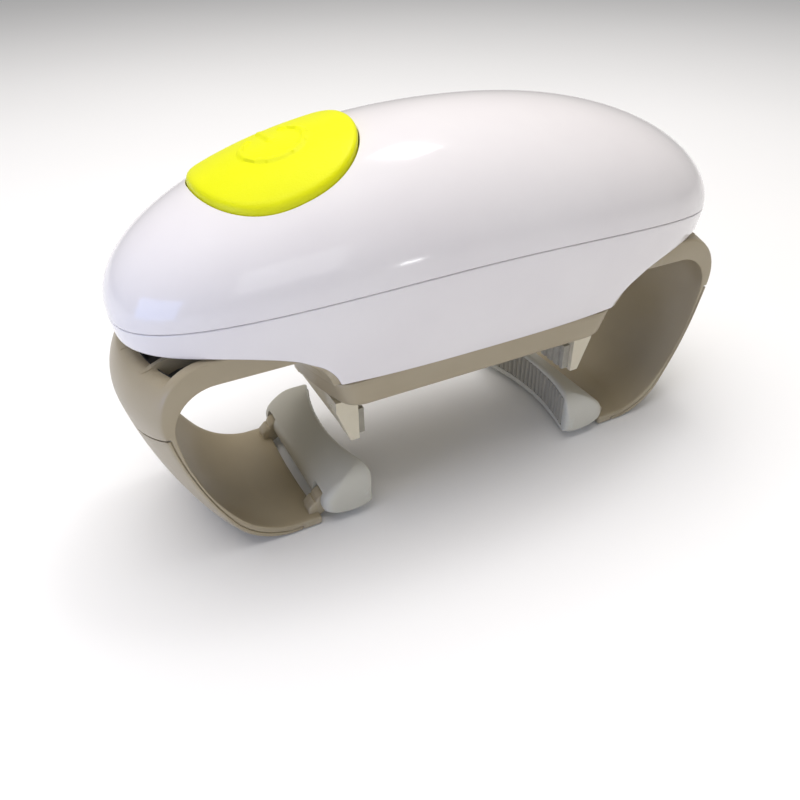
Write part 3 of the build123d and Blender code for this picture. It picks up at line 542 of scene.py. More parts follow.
def make_hatch():
    inset = 0.55
    opening = rounded_rectangle((DOOR_X[0] + inset, DOOR_Z[0] + inset),
                                (DOOR_X[1] - inset, DOOR_Z[1] - inset), 2.6, 0.9)
    ring = [back_of_dome(x, z - SEAM_LIFT) for x, z in opening]
    flat, triangles, loops = patch(ring, [], 0.6)
    points, normals = [], []
    for spot in flat:
        normal = dome_normal(spot.x, spot.y)
        point = dome_point(spot.x, spot.y) + Vector((0, 0, SEAM_LIFT))
        reach = math.hypot((point.x - DIMPLE[0]) / DIMPLE_HALF[0],
                           (point.z - SEAM_Z - DIMPLE[1]) / DIMPLE_HALF[1])
        dip = 1.0 - smooth_step(0.55, 1.0, reach)
        ribs = 0.5 - 0.5 * math.cos((point.x - DIMPLE[0]) * 2 * math.pi / DIMPLE_RIB_PITCH)
        point -= normal * dip * (0.8 - 0.45 * ribs)
        points.append(point)
        normals.append(normal)
    shape, _ = closed_shell(points, normals, triangles, loops, WALL, [(None, 0.3, WALL - 0.4)])
    add_piece("battery_hatch", shape, "gloss_white", "battery_door", ["battery_door"])


make_hatch()


# --- Start button with a raised power symbol ---
SYMBOL_SCALE = 1.45
SYMBOL_Y = -2.0
SYMBOL_R = 5.2
SYMBOL_GAP = 34         # half the opening of the symbol's ring, in degrees
SYMBOL_RELIEF = 0.5


def symbol_height(x, y):
    """Height of the raised power symbol above the button's face, from 0 to 1."""
    u, v = (x - BUTTON_X) / SYMBOL_SCALE, (y - SYMBOL_Y) / SYMBOL_SCALE
    radius = math.hypot(u, v)
    turn = abs(math.degrees(math.atan2(u, v)))
    away = abs(radius - SYMBOL_R)
    if turn < SYMBOL_GAP:
        edge = math.radians(SYMBOL_GAP)
        away = math.hypot(abs(u) - SYMBOL_R * math.sin(edge), v - SYMBOL_R * math.cos(edge))
    bar = math.hypot(u, max(1.2 - v, v - 6.8, 0.0))
    return 1.0 - smooth_step(0.36, 0.62, min(away, bar))


def make_button():
    ring = [to_map(x, y) for x, y in button_outline(-1.35, 200)]
    flat, triangles, loops = patch(ring, [], 0.42)
    points, normals = [], []
    for spot in flat:
        point = dome_point(spot.x, spot.y) + Vector((0, 0, BUTTON_PROUD))
        normals.append(dome_normal(spot.x, spot.y))
        points.append(point + normals[-1] * SYMBOL_RELIEF * symbol_height(point.x, point.y))
    shape, _ = closed_shell(points, normals, triangles, loops, 1.8, [(DOWN, 1.35, 3.6)])
    add_piece("start_button_cap", shape, "lime", "start_button", ["start_button"])


make_button()


def make_button_spring():
    """Wire spring under the cap. The real spring shortens as the button goes down; this mesh keeps one
    length.
    """
    rings = []
    low, high, turns, steps = SEAM_Z + 12.1, SEAM_Z + 22.4, 5, 180
    coil_r, wire_r = 5.2, 0.35
    for k in range(steps + 1):
        turn = 2 * math.pi * turns * k / steps
        out = Vector((math.cos(turn), math.sin(turn), 0))
        centre = Vector((SPRING_X, 0, low + (high - low) * k / steps)) + out * coil_r
        angles = [2 * math.pi * j / 10 for j in range(10)]
        rings.append([centre + (out * math.cos(a) + Vector((0, 0, math.sin(a)))) * wire_r for a in angles])
    piece = add_piece("button_coil", loft(rings), "steel", "housing", ["button_spring"])
    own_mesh(piece)


make_button_spring()


# --- Lower housing: side skin, ceiling over the arms, and end walls of the middle part ---
SKIRT_Z = SEAM_Z - 27.3
LIP_Z = SEAM_Z - 13.5
# Lower edge of the side skin: distance from the middle, and height below the seam's middle
ARCH_EDGE = [(43.2, 27.3), (43.7, 26.3), (44.4, 24.7), (45.8, 22.6), (47.8, 20.6), (50.3, 19.1),
             (53.6, 17.3), (58.2, 15.8), (62.8, 14.8), (67.3, 14.1), (71.3, 13.7), (74.5, 13.5), (91.0, 13.5)]


def along_table(table, value):
    """Smooth value from a table of (position, value) pairs."""
    if value <= table[0][0]:
        return table[0][1]
    for k in range(len(table) - 1):
        (xa, za), (xb, zb) = table[k], table[k + 1]
        if value <= xb:
            before = table[k - 1] if k else table[0]
            after = table[min(k + 2, len(table) - 1)]
            slope_a = 0.0 if k == 0 else (zb - before[1]) / (xb - before[0])
            slope_b = (after[1] - za) / (after[0] - xa)
            t = (value - xa) / (xb - xa)
            span = xb - xa
            return ((2 * t ** 3 - 3 * t ** 2 + 1) * za + (t ** 3 - 2 * t ** 2 + t) * span * slope_a
                    + (3 * t ** 2 - 2 * t ** 3) * zb + (t ** 3 - t ** 2) * span * slope_b)
    return table[-1][1]


def draft(depth):
    """How far the side has moved in at a depth below the seam."""
    return 0.1225 * depth + 0.00262 * depth ** 2


def lower_skin():
    """Side skin with a small groove under the seam and a lip round the arms' openings."""
    count = 900
    outline = even_outline(count, HALF_LENGTH, HALF_WIDTH, PLAN_POWER)
    rings = []
    for k in range(count):
        x, y = outline[k]
        ahead, behind = outline[(k + 1) % count], outline[k - 1]
        inward = Vector((-(ahead[1] - behind[1]), ahead[0] - behind[0])).normalized()
        seam = seam_height(x)
        full = seam - (SEAM_Z - along_table(ARCH_EDGE, abs(x)))
        section = [(WALL, 0.12), (0.40, 0.12), (0.18, 0.17), (0.05, 0.30), (0.0, 0.5)]
        section += [(0.0, 0.5 + (full - 1.1) * step / 10) for step in range(1, 11)]
        section += [(0.09, full - 0.25), (0.27, full - 0.07), (0.55, full), (1.5, full), (WALL, full - 0.3)]
        section += [(WALL, full - 0.3 - (full - 0.6) * step / 4) for step in range(1, 4)]
        rings.append([Vector((x + inward.x * (o + draft(d)), y + inward.y * (o + draft(d)), seam - d))
                      for o, d in section])
    return loft(rings, wrap=True)


def ceiling():
    """Plate inside each end of the housing, just above its lip."""
    parts = []
    for sign in (-1, 1):
        ring = []
        for step in range(61):
            turn = math.radians(-90 + 3 * step)
            x, y = outline_point(turn, HALF_LENGTH - 2.2, HALF_WIDTH - 3.6)
            ring.append((max(x, 51.0), y if x > 51.0 else math.copysign(27.2, y)))
        ring = [p for k, p in enumerate(ring) if k == 0 or math.dist(p, ring[k - 1]) > 0.01]
        parts.append(loft([[Vector((sign * x, y, z)) for x, y in ring] for z in (LIP_Z + 1.2, LIP_Z + 2.6)]))
    return join_parts(*parts)


def end_walls():
    """Walls of the middle part that face the arms, open where the arm's tray goes in. Their taupe colour is
    painted shade for the dark inside of the arch.
    """
    parts = []
    rise = [(43.4, SKIRT_Z), (43.9, 48.5), (44.6, 50.0), (45.8, 52.1), (47.2, 53.7), (49.0, 55.0),
            (50.6, 56.4), (51.4, 58.5), (51.6, 60.6), (51.6, 62.6)]
    for sign in (-1, 1):
        rings = []
        stations = [-1 + 0.02 * k for k in range(101)] + [-0.885, -0.875, 0.875, 0.885]
        for share in sorted(stations):
            top = 53.7 if abs(share) < 0.88 else 62.6
            path = resample([Vector((x, 0, z)) for x, z in rise if z < top + 0.01], 12)
            outer, inner = [], []
            for point in path:
                half = HALF_WIDTH * power_curve(point.x / HALF_LENGTH, PLAN_POWER) - 0.9
                half -= draft(seam_height(point.x) - point.z)
                y = half * share
                bulge = 5.5 * (1 - (y / 30) ** 2)
                outer.append(Vector((sign * (point.x + bulge), y, point.z)))
                inner.append(Vector((sign * (point.x + bulge - WALL), y, point.z)))
            rings.append(outer + inner[::-1])
        parts.append(loft(rings))
    return join_parts(*parts)


add_piece("lower_housing_shell", join_parts(lower_skin(), ceiling()), "gloss_white", "housing",
          ["lower_housing"], angle=50)
# These end walls belong to the white housing; their taupe colour is painted shade for the shadow inside the
# arch.
add_piece("middle_end_walls", end_walls(), "taupe", "housing", angle=50)


# --- Base plate: tapered band with a floor round the turntable ---
BASE_TOP = SKIRT_Z - 0.35
BASE_BOTTOM = SEAM_Z - 36.2
BASE_HALF_X, BASE_HALF_Y = 42.9, 28.4       # at the top of the band
BASE_TAPER_X, BASE_TAPER_Y = 2.8, 0.8       # how much less they are at the bottom
BORE_R = 20.9
BASE_SCREWS = (35, 21)


def base_outline(half_x, half_y):
    """Rectangle with straight sides, bulged ends and soft corners."""
    soft, crown = 4.5, 5.5
    quarter = []
    for step in range(31):
        y = (half_y - soft) * step / 30
        quarter.append(Vector((half_x + crown * (1 - (y / half_y) ** 2), y, 0)))
    start, corner, stop = quarter[-1], Vector((half_x + 0.6, half_y, 0)), Vector((half_x - soft, half_y, 0))
    for step in range(1, 13):
        t = step / 12
        quarter.append(start * (1 - t) ** 2 + corner * 2 * t * (1 - t) + stop * t * t)
    mirrored = [Vector((-p.x, p.y, 0)) for p in reversed(quarter)]
    upper = quarter + mirrored
    ring = upper + [Vector((p.x, -p.y, 0)) for p in reversed(upper)][1:-1]
    return resample(ring, 240, True)


def at_level(points, z):
    return [Vector((p.x, p.y, z)) for p in points]


def base_band():
    levels = [(-1.9, BASE_BOTTOM + 1.8), (-1.9, BASE_TOP - 0.6), (-1.6, BASE_TOP), (-0.5, BASE_TOP),
              (-0.15, BASE_TOP - 0.12), (0.0, BASE_TOP - 0.45)]
    height = BASE_TOP - BASE_BOTTOM
    levels += [(0.0, BASE_TOP - 0.45 - (height - 2.2) * step / 6) for step in range(1, 7)]
    for angle in (22.5, 45, 67.5, 90):
        bend = math.radians(angle)
        levels.append((-1.75 * (1 - math.cos(bend)), BASE_BOTTOM + 1.75 * (1 - math.sin(bend))))
    levels.append((-3.2, BASE_BOTTOM + 0.02))
    rings = []
    for grow, z in levels:
        share = (BASE_TOP - z) / height
        outline = base_outline(BASE_HALF_X - BASE_TAPER_X * share + grow,
                               BASE_HALF_Y - BASE_TAPER_Y * share + grow)
        rings.append(at_level(outline, z))
    last = base_outline(BASE_HALF_X - BASE_TAPER_X - 3.0, BASE_HALF_Y - BASE_TAPER_Y - 3.0)
    rings.append(at_level(last, BASE_BOTTOM + 1.4))
    return loft(rings, wrap=True)


def circle(radius, count, at=(0.0, 0.0)):
    turns = [2 * math.pi * k / count for k in range(count)]
    return [(at[0] + radius * math.cos(t), at[1] + radius * math.sin(t)) for t in turns]


def base_floor():
    outline = base_outline(BASE_HALF_X - BASE_TAPER_X - 2.4, BASE_HALF_Y - BASE_TAPER_Y - 2.4)
    outer = [(p.x, p.y) for p in outline]
    spots = [(sx * BASE_SCREWS[0], sy * BASE_SCREWS[1]) for sx in (-1, 1) for sy in (-1, 1)]
    holes = [circle(BORE_R + 0.5, 120)] + [circle(2.85, 28, spot) for spot in spots]
    flat, triangles, loops = patch(outer, holes, 2.4)
    points = at_level(flat, BASE_BOTTOM)
    rims = [(None, 0.2, 1.8), (None, 0.5, 1.7)] + [(None, 0.25, 1.8)] * 4
    return closed_shell(points, [DOWN] * len(points), triangles, loops, 2.3, rims)[0]


add_piece("base_band", join_parts(base_band(), base_floor()), "taupe", "housing", ["base_plate"], angle=50)


# --- Arms, worked out on the +X side and turned for the other one ---
ARM_HALF_WIDTH = 24.0
ARM_CROWN = 6.6
BAND_OUTER = [(72, 60.7), (86.0, 43.7), (73.8, 9.9), (58, 0.0)]
BAND_INNER = [(72, 54.2), (83.2, 42.0), (71.8, 11.5), (57, 2.8)]
COVER_SHARE = 0.42
COVER_SEAM = 42.7
COVER_DIP = 5.0
INNER_END = 46.0
RACK_ROOM_X = 52.1     # the arm's inner end steps back here, for the other arm's rack
RACK_ROOM_Y = (6.0, 15.5)
FOOT_END = 49.5
COVER_END = 55.0
RIM_Z = SEAM_Z - 18.0
RIB_SPOTS = (-13.4, 0.0, 13.4)
HINGE = (47.4, 5.6)
LUG_Y = (17.0, 22.0)


def tangent_arcs(points):
    """Smooth chain of arcs through (x, z) points, leaving the first one level."""
    per_arc = 40
    direction = Vector((1, 0))
    chain = [Vector(points[0])]
    for (ax, az), (bx, bz) in zip(points, points[1:]):
        start, stop = Vector((ax, az)), Vector((bx, bz))
        chord = stop - start
        side = Vector((-direction.y, direction.x))
        offset = chord.dot(side)
        radius = chord.length_squared / (2 * offset)
        centre = start + side * radius
        first = math.atan2(start.y - centre.y, start.x - centre.x)
        swing = math.atan2(stop.y - centre.y, stop.x - centre.x) - first
        if radius < 0 and swing > 0:
            swing -= 2 * math.pi
        for step in range(1, per_arc + 1):
            angle = first + swing * step / per_arc
            chain.append(centre + Vector((math.cos(angle), math.sin(angle))) * abs(radius))
        last = chain[-1] - centre
        direction = Vector((last.y, -last.x)).normalized()
    return chain


def band_curve(share):
    return tangent_arcs([(xo + (xi - xo) * share, zo + (zi - zo) * share)
                         for (xo, zo), (xi, zi) in zip(BAND_OUTER, BAND_INNER)])


def cut_curve(curve, start_z, stop_z, count):
    """Even points of a falling curve between two heights."""
    def at_height(z):
        for k in range(len(curve) - 1):
            if curve[k].y >= z >= curve[k + 1].y:
                share = (curve[k].y - z) / max(1e-9, curve[k].y - curve[k + 1].y)
                return k, curve[k].lerp(curve[k + 1], share)
        return len(curve) - 2, curve[-1]

    first, start = at_height(start_z)
    last, stop = at_height(stop_z)
    return resample([start, *curve[first + 1:last + 1], stop], count)


def flat_points(*points):
    return [Vector(p) for p in points]


def seam_at(y):
    """Height of the line where the arm's outer skin starts."""
    return COVER_SEAM - COVER_DIP * (1 - (y / ARM_HALF_WIDTH) ** 2)


OUTSIDE = band_curve(0.0)
MIDDLE = band_curve(COVER_SHARE)
INSIDE = band_curve(1.0)


def arm_outline(y, kind):
    """Closed side outline of the arm at one place across it. Kind is side, rib or pocket."""
    low = 1.15
    inner_end = RACK_ROOM_X if RACK_ROOM_Y[0] < y < RACK_ROOM_Y[1] else INNER_END
    if kind == "side":
        top = flat_points((inner_end, 59.9), (60.0, 59.9), (62.0, 60.05), (63.5, 60.7))
        top += resample([Vector((66.0, 60.7)), *cut_curve(OUTSIDE, 60.7, RIM_Z + 0.5, 20)], 10)
    else:
        floor = [(inner_end, 55.6), (56.0, 55.6), (60.0, 55.6), (66.0, 55.6), (70.0, 55.5), (74.5, 55.1),
                 (77.4, 54.0), (79.9, 52.4), (81.3, 51.0), (82.5, 50.9), (82.2, 53.2), (80.2, 55.4),
                 (78.9, 56.5), (80.0, RIM_Z)]
        if kind == "rib":
            tops = [55.6, 55.6, 58.6, 58.9, 59.1, 59.0, 58.4, 57.4, 56.4, 56.3, 56.5, 56.9, 57.3, RIM_Z]
            floor = [(x, top) for (x, _), top in zip(floor, tops)]
        top = flat_points(*floor)
    seam = seam_at(y)
    outer = cut_curve(OUTSIDE, RIM_Z - 0.4, seam + 0.35, 14)
    shoulder = cut_curve(MIDDLE, seam + 0.10, seam - 0.1, 2)[0]
    step_in = cut_curve(OUTSIDE, seam + 0.12, seam, 2)[0].lerp(shoulder, 0.12)
    under = cut_curve(MIDDLE, seam - 0.4, low + 0.2, 26)
    under += flat_points((62.0, low), (COVER_END + 0.3, low), (COVER_END, low - 0.3), (COVER_END, 0.3),
                         (COVER_END - 0.3, 0.0))
    foot = flat_points((FOOT_END + 0.5, 0.0), (FOOT_END, 0.5), (FOOT_END, 2.3), (FOOT_END + 0.5, 2.8))
    inner = cut_curve(INSIDE, 54.2, 2.8, 56)[::-1]
    back = flat_points((62.0, 54.2), (inner_end + 0.4, 54.2), (inner_end, 54.6))
    return top + outer + [step_in, shoulder] + under + foot + inner + back


def cover_outline(y):
    """Closed side outline of the arm's outer skin at one place across it."""
    seam = seam_at(y) - 0.28
    outer = cut_curve(OUTSIDE, seam - 0.3, 0.0, 34)
    inner = cut_curve(MIDDLE, seam, 1.1, 30)[::-1]
    first = [cut_curve(OUTSIDE, seam - 0.05, seam - 0.2, 2)[0].lerp(inner[-1], 0.10)]
    end = flat_points((COVER_END + 0.5, 0.0), (COVER_END + 0.15, 0.3), (COVER_END + 0.15, 1.05))
    return first + outer + end + inner


def inset_outline(outline, amount):
    """Moves every point of a flat clockwise outline inwards."""
    size = len(outline)
    result = []
    for k in range(size):
        before = outline[k] - outline[k - 1]
        after = outline[(k + 1) % size] - outline[k]
        before = before.normalized() if before.length > 1e-6 else after.normalized()
        after = after.normalized() if after.length > 1e-6 else before
        side = Vector((before.y + after.y, -before.x - after.x))
        side = side.normalized() if side.length > 1e-6 else Vector((before.y, -before.x))
        spread_out = max(0.5, side.dot(Vector((after.y, -after.x))))
        result.append(outline[k] + side * (amount / spread_out))
    return result


def crown_shift(x, y):
    """How far the arm's bulged end moves a point outwards."""
    share = smooth_step(47.0, 57.0, x)
    return ARM_CROWN * (1 - (y / ARM_HALF_WIDTH) ** 2) * share


def across_band(outline_at, rounding):
    """Lofts outlines across the arm with rounded sides. outline_at gives the outline for a Y."""
    rings = []
    edge = ARM_HALF_WIDTH
    ends = [(edge, 1.0), (edge - rounding * 0.08, 0.6), (edge - rounding * 0.29, 0.29),
            (edge - rounding * 0.62, 0.07)]
    stations = [(-y, share) for y, share in ends]
    middle = [(-22.6 + 1.13 * k, 0.0) for k in range(41)]
    for spot in RIB_SPOTS:
        middle += [(spot + d, 0.0) for d in (-0.72, -0.60, 0.60, 0.72)]
    middle += [(s * d, 0.0) for s in (-1, 1) for d in (21.75, 21.6)]
    middle += [(edge_y + d, 0.0) for edge_y in RACK_ROOM_Y for d in (-0.03, 0.03)]
    stations += sorted(set(middle)) + [(y, share) for y, share in reversed(ends)]
    for y, share in stations:
        outline = outline_at(y)
        if share:
            outline = inset_outline(outline, rounding * share)
        rings.append([Vector((p.x + crown_shift(p.x, y), y, p.y)) for p in outline])
    return loft(rings)


def arm_kind(y):
    if abs(y) > 21.7:
        return "side"
    if any(abs(y - spot) < 0.66 for spot in RIB_SPOTS):
        return "rib"
    return "pocket"


def hinge_lugs():
    """Two rounded ears at the arm's foot that hold the paddle's pin."""
    parts = []
    for sign in (-1, 1):
        outline = flat_points((52.5, 1.0), (52.5, 4.6), (50.6, 6.4))
        for step in range(15):
            angle = math.radians(15 + 17 * step)
            outline.append(Vector((HINGE[0] + 2.8 * math.cos(angle), HINGE[1] + 2.8 * math.sin(angle))))
        outline.append(Vector((49.4, 1.0)))
        rings = []
        for share, amount in ((0.0, 0.45), (0.05, 0.12), (0.12, 0.0), (0.88, 0.0), (0.95, 0.12), (1.0, 0.45)):
            y = sign * (LUG_Y[0] + (LUG_Y[1] - LUG_Y[0]) * share)
            rings.append([Vector((p.x, y, p.y)) for p in inset_outline(outline[::-1], amount)])
        parts.append(loft(rings))
    return join_parts(*parts)


def turned(part):
    """The same shape turned half a turn about the jar's axis."""
    verts, faces = part
    return [Vector((-p.x, -p.y, p.z)) for p in verts], faces


def add_both(name, part, slot, body, cad, angle):
    """The right-hand piece as drawn, and the left-hand one turned about the jar's axis."""
    for side, shape in (("right_", part), ("left_", turned(part))):
        add_piece(side + name, shape, slot, side + body, [side + c for c in cad], angle=angle)


arm_tray = across_band(lambda y: arm_outline(y, arm_kind(y)), 0.55)
add_both("arm_band", join_parts(arm_tray, hinge_lugs()), "taupe", "arm", ["arm"], 48)
add_both("arm_shell", across_band(cover_outline, 0.5), "taupe", "arm", ["arm_cover"], 48)


def painted_shade_pocket_floors():
    """Dark sheet between the ribs of the arm's open top: painted shade for the shadow under the lip."""
    floor = [(60.5, 55.75), (66.0, 55.75), (70.0, 55.65), (74.5, 55.25), (77.4, 54.15), (79.7, 52.75),
             (81.2, 51.3), (81.9, 51.25), (81.7, 53.2), (80.0, 55.2), (78.75, 56.6)]
    edges = [-21.4, *[spot + d for spot in RIB_SPOTS for d in (-0.8, 0.8)], 21.4]
    parts = []
    for low, high in zip(edges[::2], edges[1::2]):
        rings = []
        for k in range(9):
            y = low + (high - low) * k / 8
            outline = flat_points(*floor, *[(x + 0.1, z - 0.25) for x, z in reversed(floor)])
            rings.append([Vector((p.x + crown_shift(p.x, y) - 0.1, y, p.y)) for p in outline])
        parts.append(loft(rings))
    return join_parts(*parts)


def toothed_rack():
    """Bar with teeth that reaches over the arm's inner end to the pinion in the middle."""
    start, end, back_y, pitch_y = -9.0, 52.0, -13.5, -9.0
    tip_y, root_y, tip_half, root_half = pitch_y + 0.9, pitch_y - 1.15, 0.38, 1.1
    points = [(start, root_y)]
    first = math.ceil((start + root_half) / math.pi)
    last = math.floor((end - root_half) / math.pi)
    for number in range(first, last + 1):
        centre = number * math.pi
        points += [(centre - root_half, root_y), (centre - tip_half, tip_y),
                   (centre + tip_half, tip_y), (centre + root_half, root_y)]
    points += [(end, root_y), (end, back_y), (start, back_y)]
    return loft([[Vector((x, y, z)) for x, y in points] for z in (54.5, 57.0, 59.5)])


add_both("arm_rack", toothed_rack(), "taupe", "arm", [], 30)
# The dark sheets in the arm's pockets are painted shade for the shadow under the lip.
add_both("arm_pocket", painted_shade_pocket_floors(), "dark_plastic", "arm", [], 40)


# --- Paddles and their rubber linings ---
PADDLE_OUTLINE = [(32.0, 15.6), (35.5, 16.2), (40.0, 15.2), (45.6, 12.2), (49.0, 8.9), (49.15, 4.4),
                  (45.0, 2.0), (39.0, 1.4), (35.0, 2.3), (32.0, 5.5)]
PADDLE_HALF_WIDTH = 26.0
PADDLE_TOP = 16.2
PADDLE_TOP_ROUND = 6.5
GRIP_R = 70.0
GRIP_AXIS_X = -32.0
PAD_THICK = 2.0
PAD_PROUD = 0.4
PAD_HALF_WIDTH = 22.5
PAD_Z = (4.2, 14.2)
PAD_GAP = 0.12


def soften(outline, radius):
    """Replaces each corner of a closed flat outline by a curve that starts a radius away from it."""
    steps = 5
    result = []
    size = len(outline)
    for k in range(size):
        corner = outline[k]
        before, after = outline[k - 1] - corner, outline[(k + 1) % size] - corner
        reach_a, reach_b = min(radius, before.length * 0.45), min(radius, after.length * 0.45)
        a, b = corner + before.normalized() * reach_a, corner + after.normalized() * reach_b
        for step in range(steps + 1):
            t = step / steps
            result.append(a * (1 - t) ** 2 + corner * 2 * t * (1 - t) + b * t * t)
    return result


def dense(outline, spacing):
    """The same closed outline with points no further apart than the spacing."""
    result = []
    for a, b in zip(outline, outline[1:] + outline[:1]):
        count = max(1, math.ceil((b - a).length / spacing))
        result += [a.lerp(b, k / count) for k in range(count)]
    return result


PADDLE_SIDE = dense(soften(flat_points(*PADDLE_OUTLINE), 2.8), 0.35)


def paddle_height(x, top):
    """Height of the paddle's upper or lower surface at a distance from the middle."""
    best = None
    ring = PADDLE_SIDE + PADDLE_SIDE[:1]
    for a, b in zip(ring, ring[1:]):
        if min(a.x, b.x) <= x <= max(a.x, b.x) and a.x != b.x:
            z = a.y + (b.y - a.y) * (x - a.x) / (b.x - a.x)
            if best is None or (z > best if top else z < best):
                best = z
    return best if best is not None else 8.0


def paddle_section(y):
    """Side outline of the paddle at one place across it, hollowed in front and recessed for the lining."""
    front = GRIP_AXIS_X + math.sqrt((GRIP_R + PAD_PROUD) ** 2 - y * y)
    edge = 1.1
    side = min(abs(y), PADDLE_HALF_WIDTH) - (PADDLE_HALF_WIDTH - PADDLE_TOP_ROUND)
    limit = PADDLE_TOP
    if side > 0:
        limit += math.sqrt(PADDLE_TOP_ROUND ** 2 - side * side) - PADDLE_TOP_ROUND
    chain = [Vector((p.x, min(p.y, limit))) for p in PADDLE_SIDE if p.x > front + edge + 0.05]
    top = min(paddle_height(front + edge, True), limit)
    low = paddle_height(front + edge, False)
    path = [Vector((front + edge, top)), *chain, Vector((front + edge, low))]
    if LUG_Y[0] - 0.4 < abs(y) < LUG_Y[1] + 0.4:
        path = notched(path)
    path = resample(path, 96)
    turns = [math.radians(18 * k) for k in range(1, 6)]
    face = [Vector((front + edge - edge * math.sin(t), low + edge - edge * math.cos(t))) for t in turns]
    depth = 1.2 if abs(y) < PAD_HALF_WIDTH + PAD_GAP else 0.0
    for z, into in ((PAD_Z[0] - PAD_GAP, 0), (PAD_Z[0] - PAD_GAP, depth), (PAD_Z[1] + PAD_GAP, depth),
                    (PAD_Z[1] + PAD_GAP, 0)):
        face.append(Vector((front + into, min(z, top - edge - 0.1))))
    face += [Vector((front + edge - edge * math.sin(t), top - edge + edge * math.cos(t)))
             for t in reversed(turns)]
    return path + face


def drawn_in(outline, amount):
    """The outline made smaller about its middle, by the same amount on every side."""
    xs, ys = [p.x for p in outline], [p.y for p in outline]
    middle = Vector(((min(xs) + max(xs)) / 2, (min(ys) + max(ys)) / 2))
    across, up = (max(xs) - min(xs)) / 2, (max(ys) - min(ys)) / 2
    scale_x, scale_y = 1 - amount / across, 1 - amount / up
    return [Vector((middle.x + (p.x - middle.x) * scale_x, middle.y + (p.y - middle.y) * scale_y))
            for p in outline]


def notched(path):
    """Takes the room for a hinge lug out of a paddle's side outline."""
    wall, roof = 43.9, 9.4
    above = [p for p in path if p.y >= roof]
    below = [p for p in path if p.y < roof and 30 < p.x < wall]
    lowest = min((p.y for p in below if p.x > wall - 4), default=2.0)
    corner = flat_points((above[-1].x, roof), (wall + 0.6, roof), (wall, roof - 0.6), (wall, lowest + 0.2))
    return above + corner + below


def make_paddles():
    edge, round_r = PADDLE_HALF_WIDTH - 0.05, 2.4
    stations = []
    for step in range(8):
        bend = math.radians(90 * (1 - step / 8))
        stations.append((edge - round_r * (1 - math.sin(bend)), round_r * (1 - math.cos(bend))))
    middle = [edge - round_r, 23.0, 22.66, 22.58, 22.45, 22.35, 21.4, 20.5, 19.0, 17.6, 16.65, 16.55, 15.5]
    middle += [14.0 - 1.4 * k for k in range(11)]
    half = stations + [(y, 0.0) for y in middle]
    outlines = [(y, drawn_in(paddle_section(y), amount)) for y, amount in half]
    full = outlines + [(-y, o) for y, o in reversed(outlines) if y > 0.01]
    bar = loft([[Vector((p.x, y, p.y)) for p in outline] for y, outline in full])
    add_both("paddle_bar", bar, "paddle_plastic", "paddle", ["paddle"], 38)


def make_linings():
    """Rubber strips with fine upright grooves, set into the paddles."""
    rings = []
    last = math.degrees(math.asin(PAD_HALF_WIDTH / GRIP_R))
    low, high = PAD_Z
    for k in range(211):
        turn = -last + 2 * last * k / 210
        angle = math.radians(turn)
        edge = smooth_step(last, last - 0.6, abs(turn))
        groove = 0.5 - 0.5 * math.cos(math.radians(turn / 1.75 * 360))
        face = GRIP_R + 0.75 * (groove ** 3) * edge + 0.5 * (1 - edge)
        back = GRIP_R + PAD_THICK - 0.4
        section = [(face + 0.6, low), (face + 0.15, low + 0.2), (face, low + 0.7),
                   (face, (low + high) / 2), (face, high - 0.7), (face + 0.15, high - 0.2),
                   (face + 0.6, high), (back, high), (back, low)]
        c, s = math.cos(angle), math.sin(angle)
        rings.append([Vector((GRIP_AXIS_X + r * c, r * s, z)) for r, z in section])
    add_both("paddle_lining", loft(rings), "grip_rubber", "paddle", ["paddle_pad"], 35)


make_paddles()
make_linings()


# --- Camera, floor and lights ---
CAMERA_PLACE = Vector((-0.09998, -0.17173, 0.15123))
CAMERA_YAW = math.radians(27.078)
CAMERA_PITCH = math.radians(35.129)
CAMERA_ROLL = math.radians(-0.541)


def add_camera():
    flat = math.cos(CAMERA_PITCH)
    back = Vector((-math.sin(CAMERA_YAW) * flat, -math.cos(CAMERA_YAW) * flat, math.sin(CAMERA_PITCH)))
    level = Vector((math.cos(CAMERA_YAW), -math.sin(CAMERA_YAW), 0))
    upright = back.cross(level)
    right = level * math.cos(CAMERA_ROLL) + upright * math.sin(CAMERA_ROLL)
    up = upright * math.cos(CAMERA_ROLL) - level * math.sin(CAMERA_ROLL)
    data = bpy.data.cameras.new("camera")
    data.lens = 33.74
    data.sensor_width = 36.0
    data.clip_start = 0.01
    data.clip_end = 20.0
    camera = add_object("camera", data)
    matrix = Matrix((right, up, back)).transposed().to_4x4()
    matrix.translation = CAMERA_PLACE
    camera.matrix_world = matrix
    bpy.context.scene.camera = camera


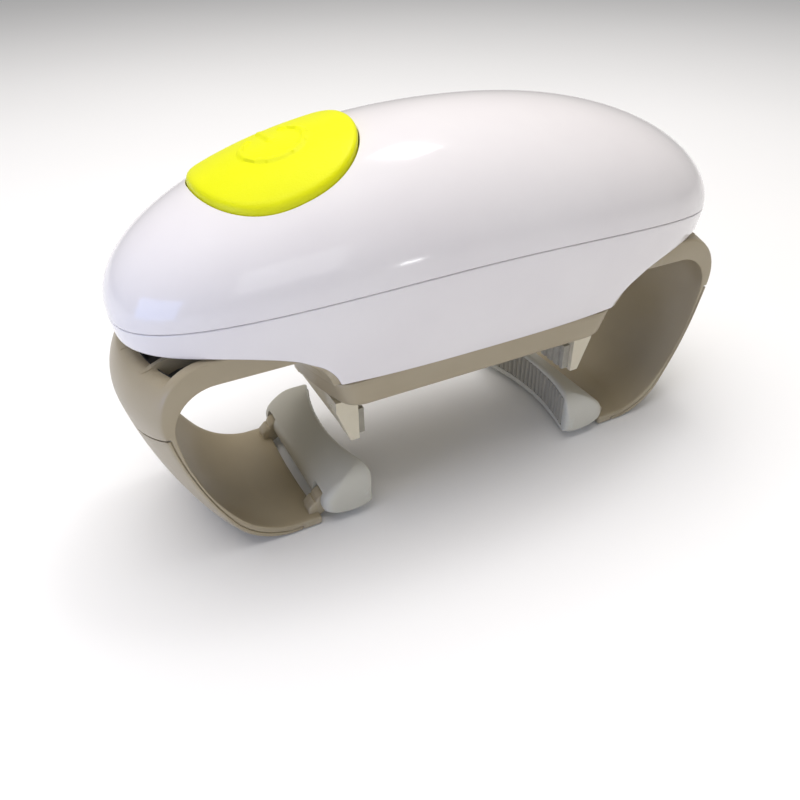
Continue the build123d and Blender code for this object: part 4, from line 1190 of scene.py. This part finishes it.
def add_floor():
    size, drop = 3.0, -0.0003
    mesh = bpy.data.meshes.new("floor")
    corners = [(-size, -size, drop), (size, -size, drop), (size, size, drop), (-size, size, drop)]
    mesh.from_pydata(corners, [], [(0, 1, 2, 3)])
    floor = add_object("floor", mesh)
    material, tree, shader, place = new_material("floor_paper")
    shade = spread(tree, noise(tree, place, 3, 2), 0.0, 1.0)
    paper = mix_colours(tree, shade, (0.90, 0.90, 0.90), (0.92, 0.92, 0.92))
    feed(tree, shader.inputs, {"Base Color": paper, "Roughness": 0.9})
    mesh.materials.append(material)


def add_light(name, place, aim, size, watts, colour):
    data = bpy.data.lights.new(name, "AREA")
    data.shape = "RECTANGLE"
    data.size, data.size_y = size
    data.energy = watts
    data.color = colour
    light = add_object(name, data)
    light.location = place
    light.rotation_mode = "QUATERNION"
    light.rotation_quaternion = (Vector(aim) - Vector(place)).to_track_quat("-Z", "Y")


def add_world():
    world = bpy.data.worlds.new("studio")
    bpy.context.scene.world = world
    world.use_nodes = True
    backdrop = world.node_tree.nodes["Background"]
    feed(world.node_tree, backdrop.inputs, {"Color": (1.0, 1.0, 1.0, 1), "Strength": 0.29})


add_camera()
add_floor()
add_world()
bpy.context.scene.view_settings.view_transform = "Standard"
# name, place, aim, size, watts, colour
LIGHTS = (
    ("overhead", (-0.05, 0.12, 0.85), (0, 0, 0.05), (1.1, 0.8), 8.4, (1.0, 0.965, 0.94)),
    ("window", (0.222, 0.139, 0.774), (-0.020, -0.019, 0.099), (0.16, 0.10), 0.55, (1, 1, 1)),
    ("side_spark", (0.175, -0.70, 0.06), (-0.027, -0.034, 0.079), (0.05, 0.03), 0.08, (1, 1, 1)),
    ("fill_left", (-0.75, -0.15, 0.12), (-0.06, 0, 0.06), (0.5, 0.35), 1.4, (0.28, 0.45, 1.0)),
    ("low_front", (-0.25, -0.75, 0.42), (0, 0, 0.04), (0.5, 0.35), 0.6, (0.98, 0.99, 1.0)),
)
for light in LIGHTS:
    add_light(*light)
bpy.data.objects["overhead"].visible_glossy = False
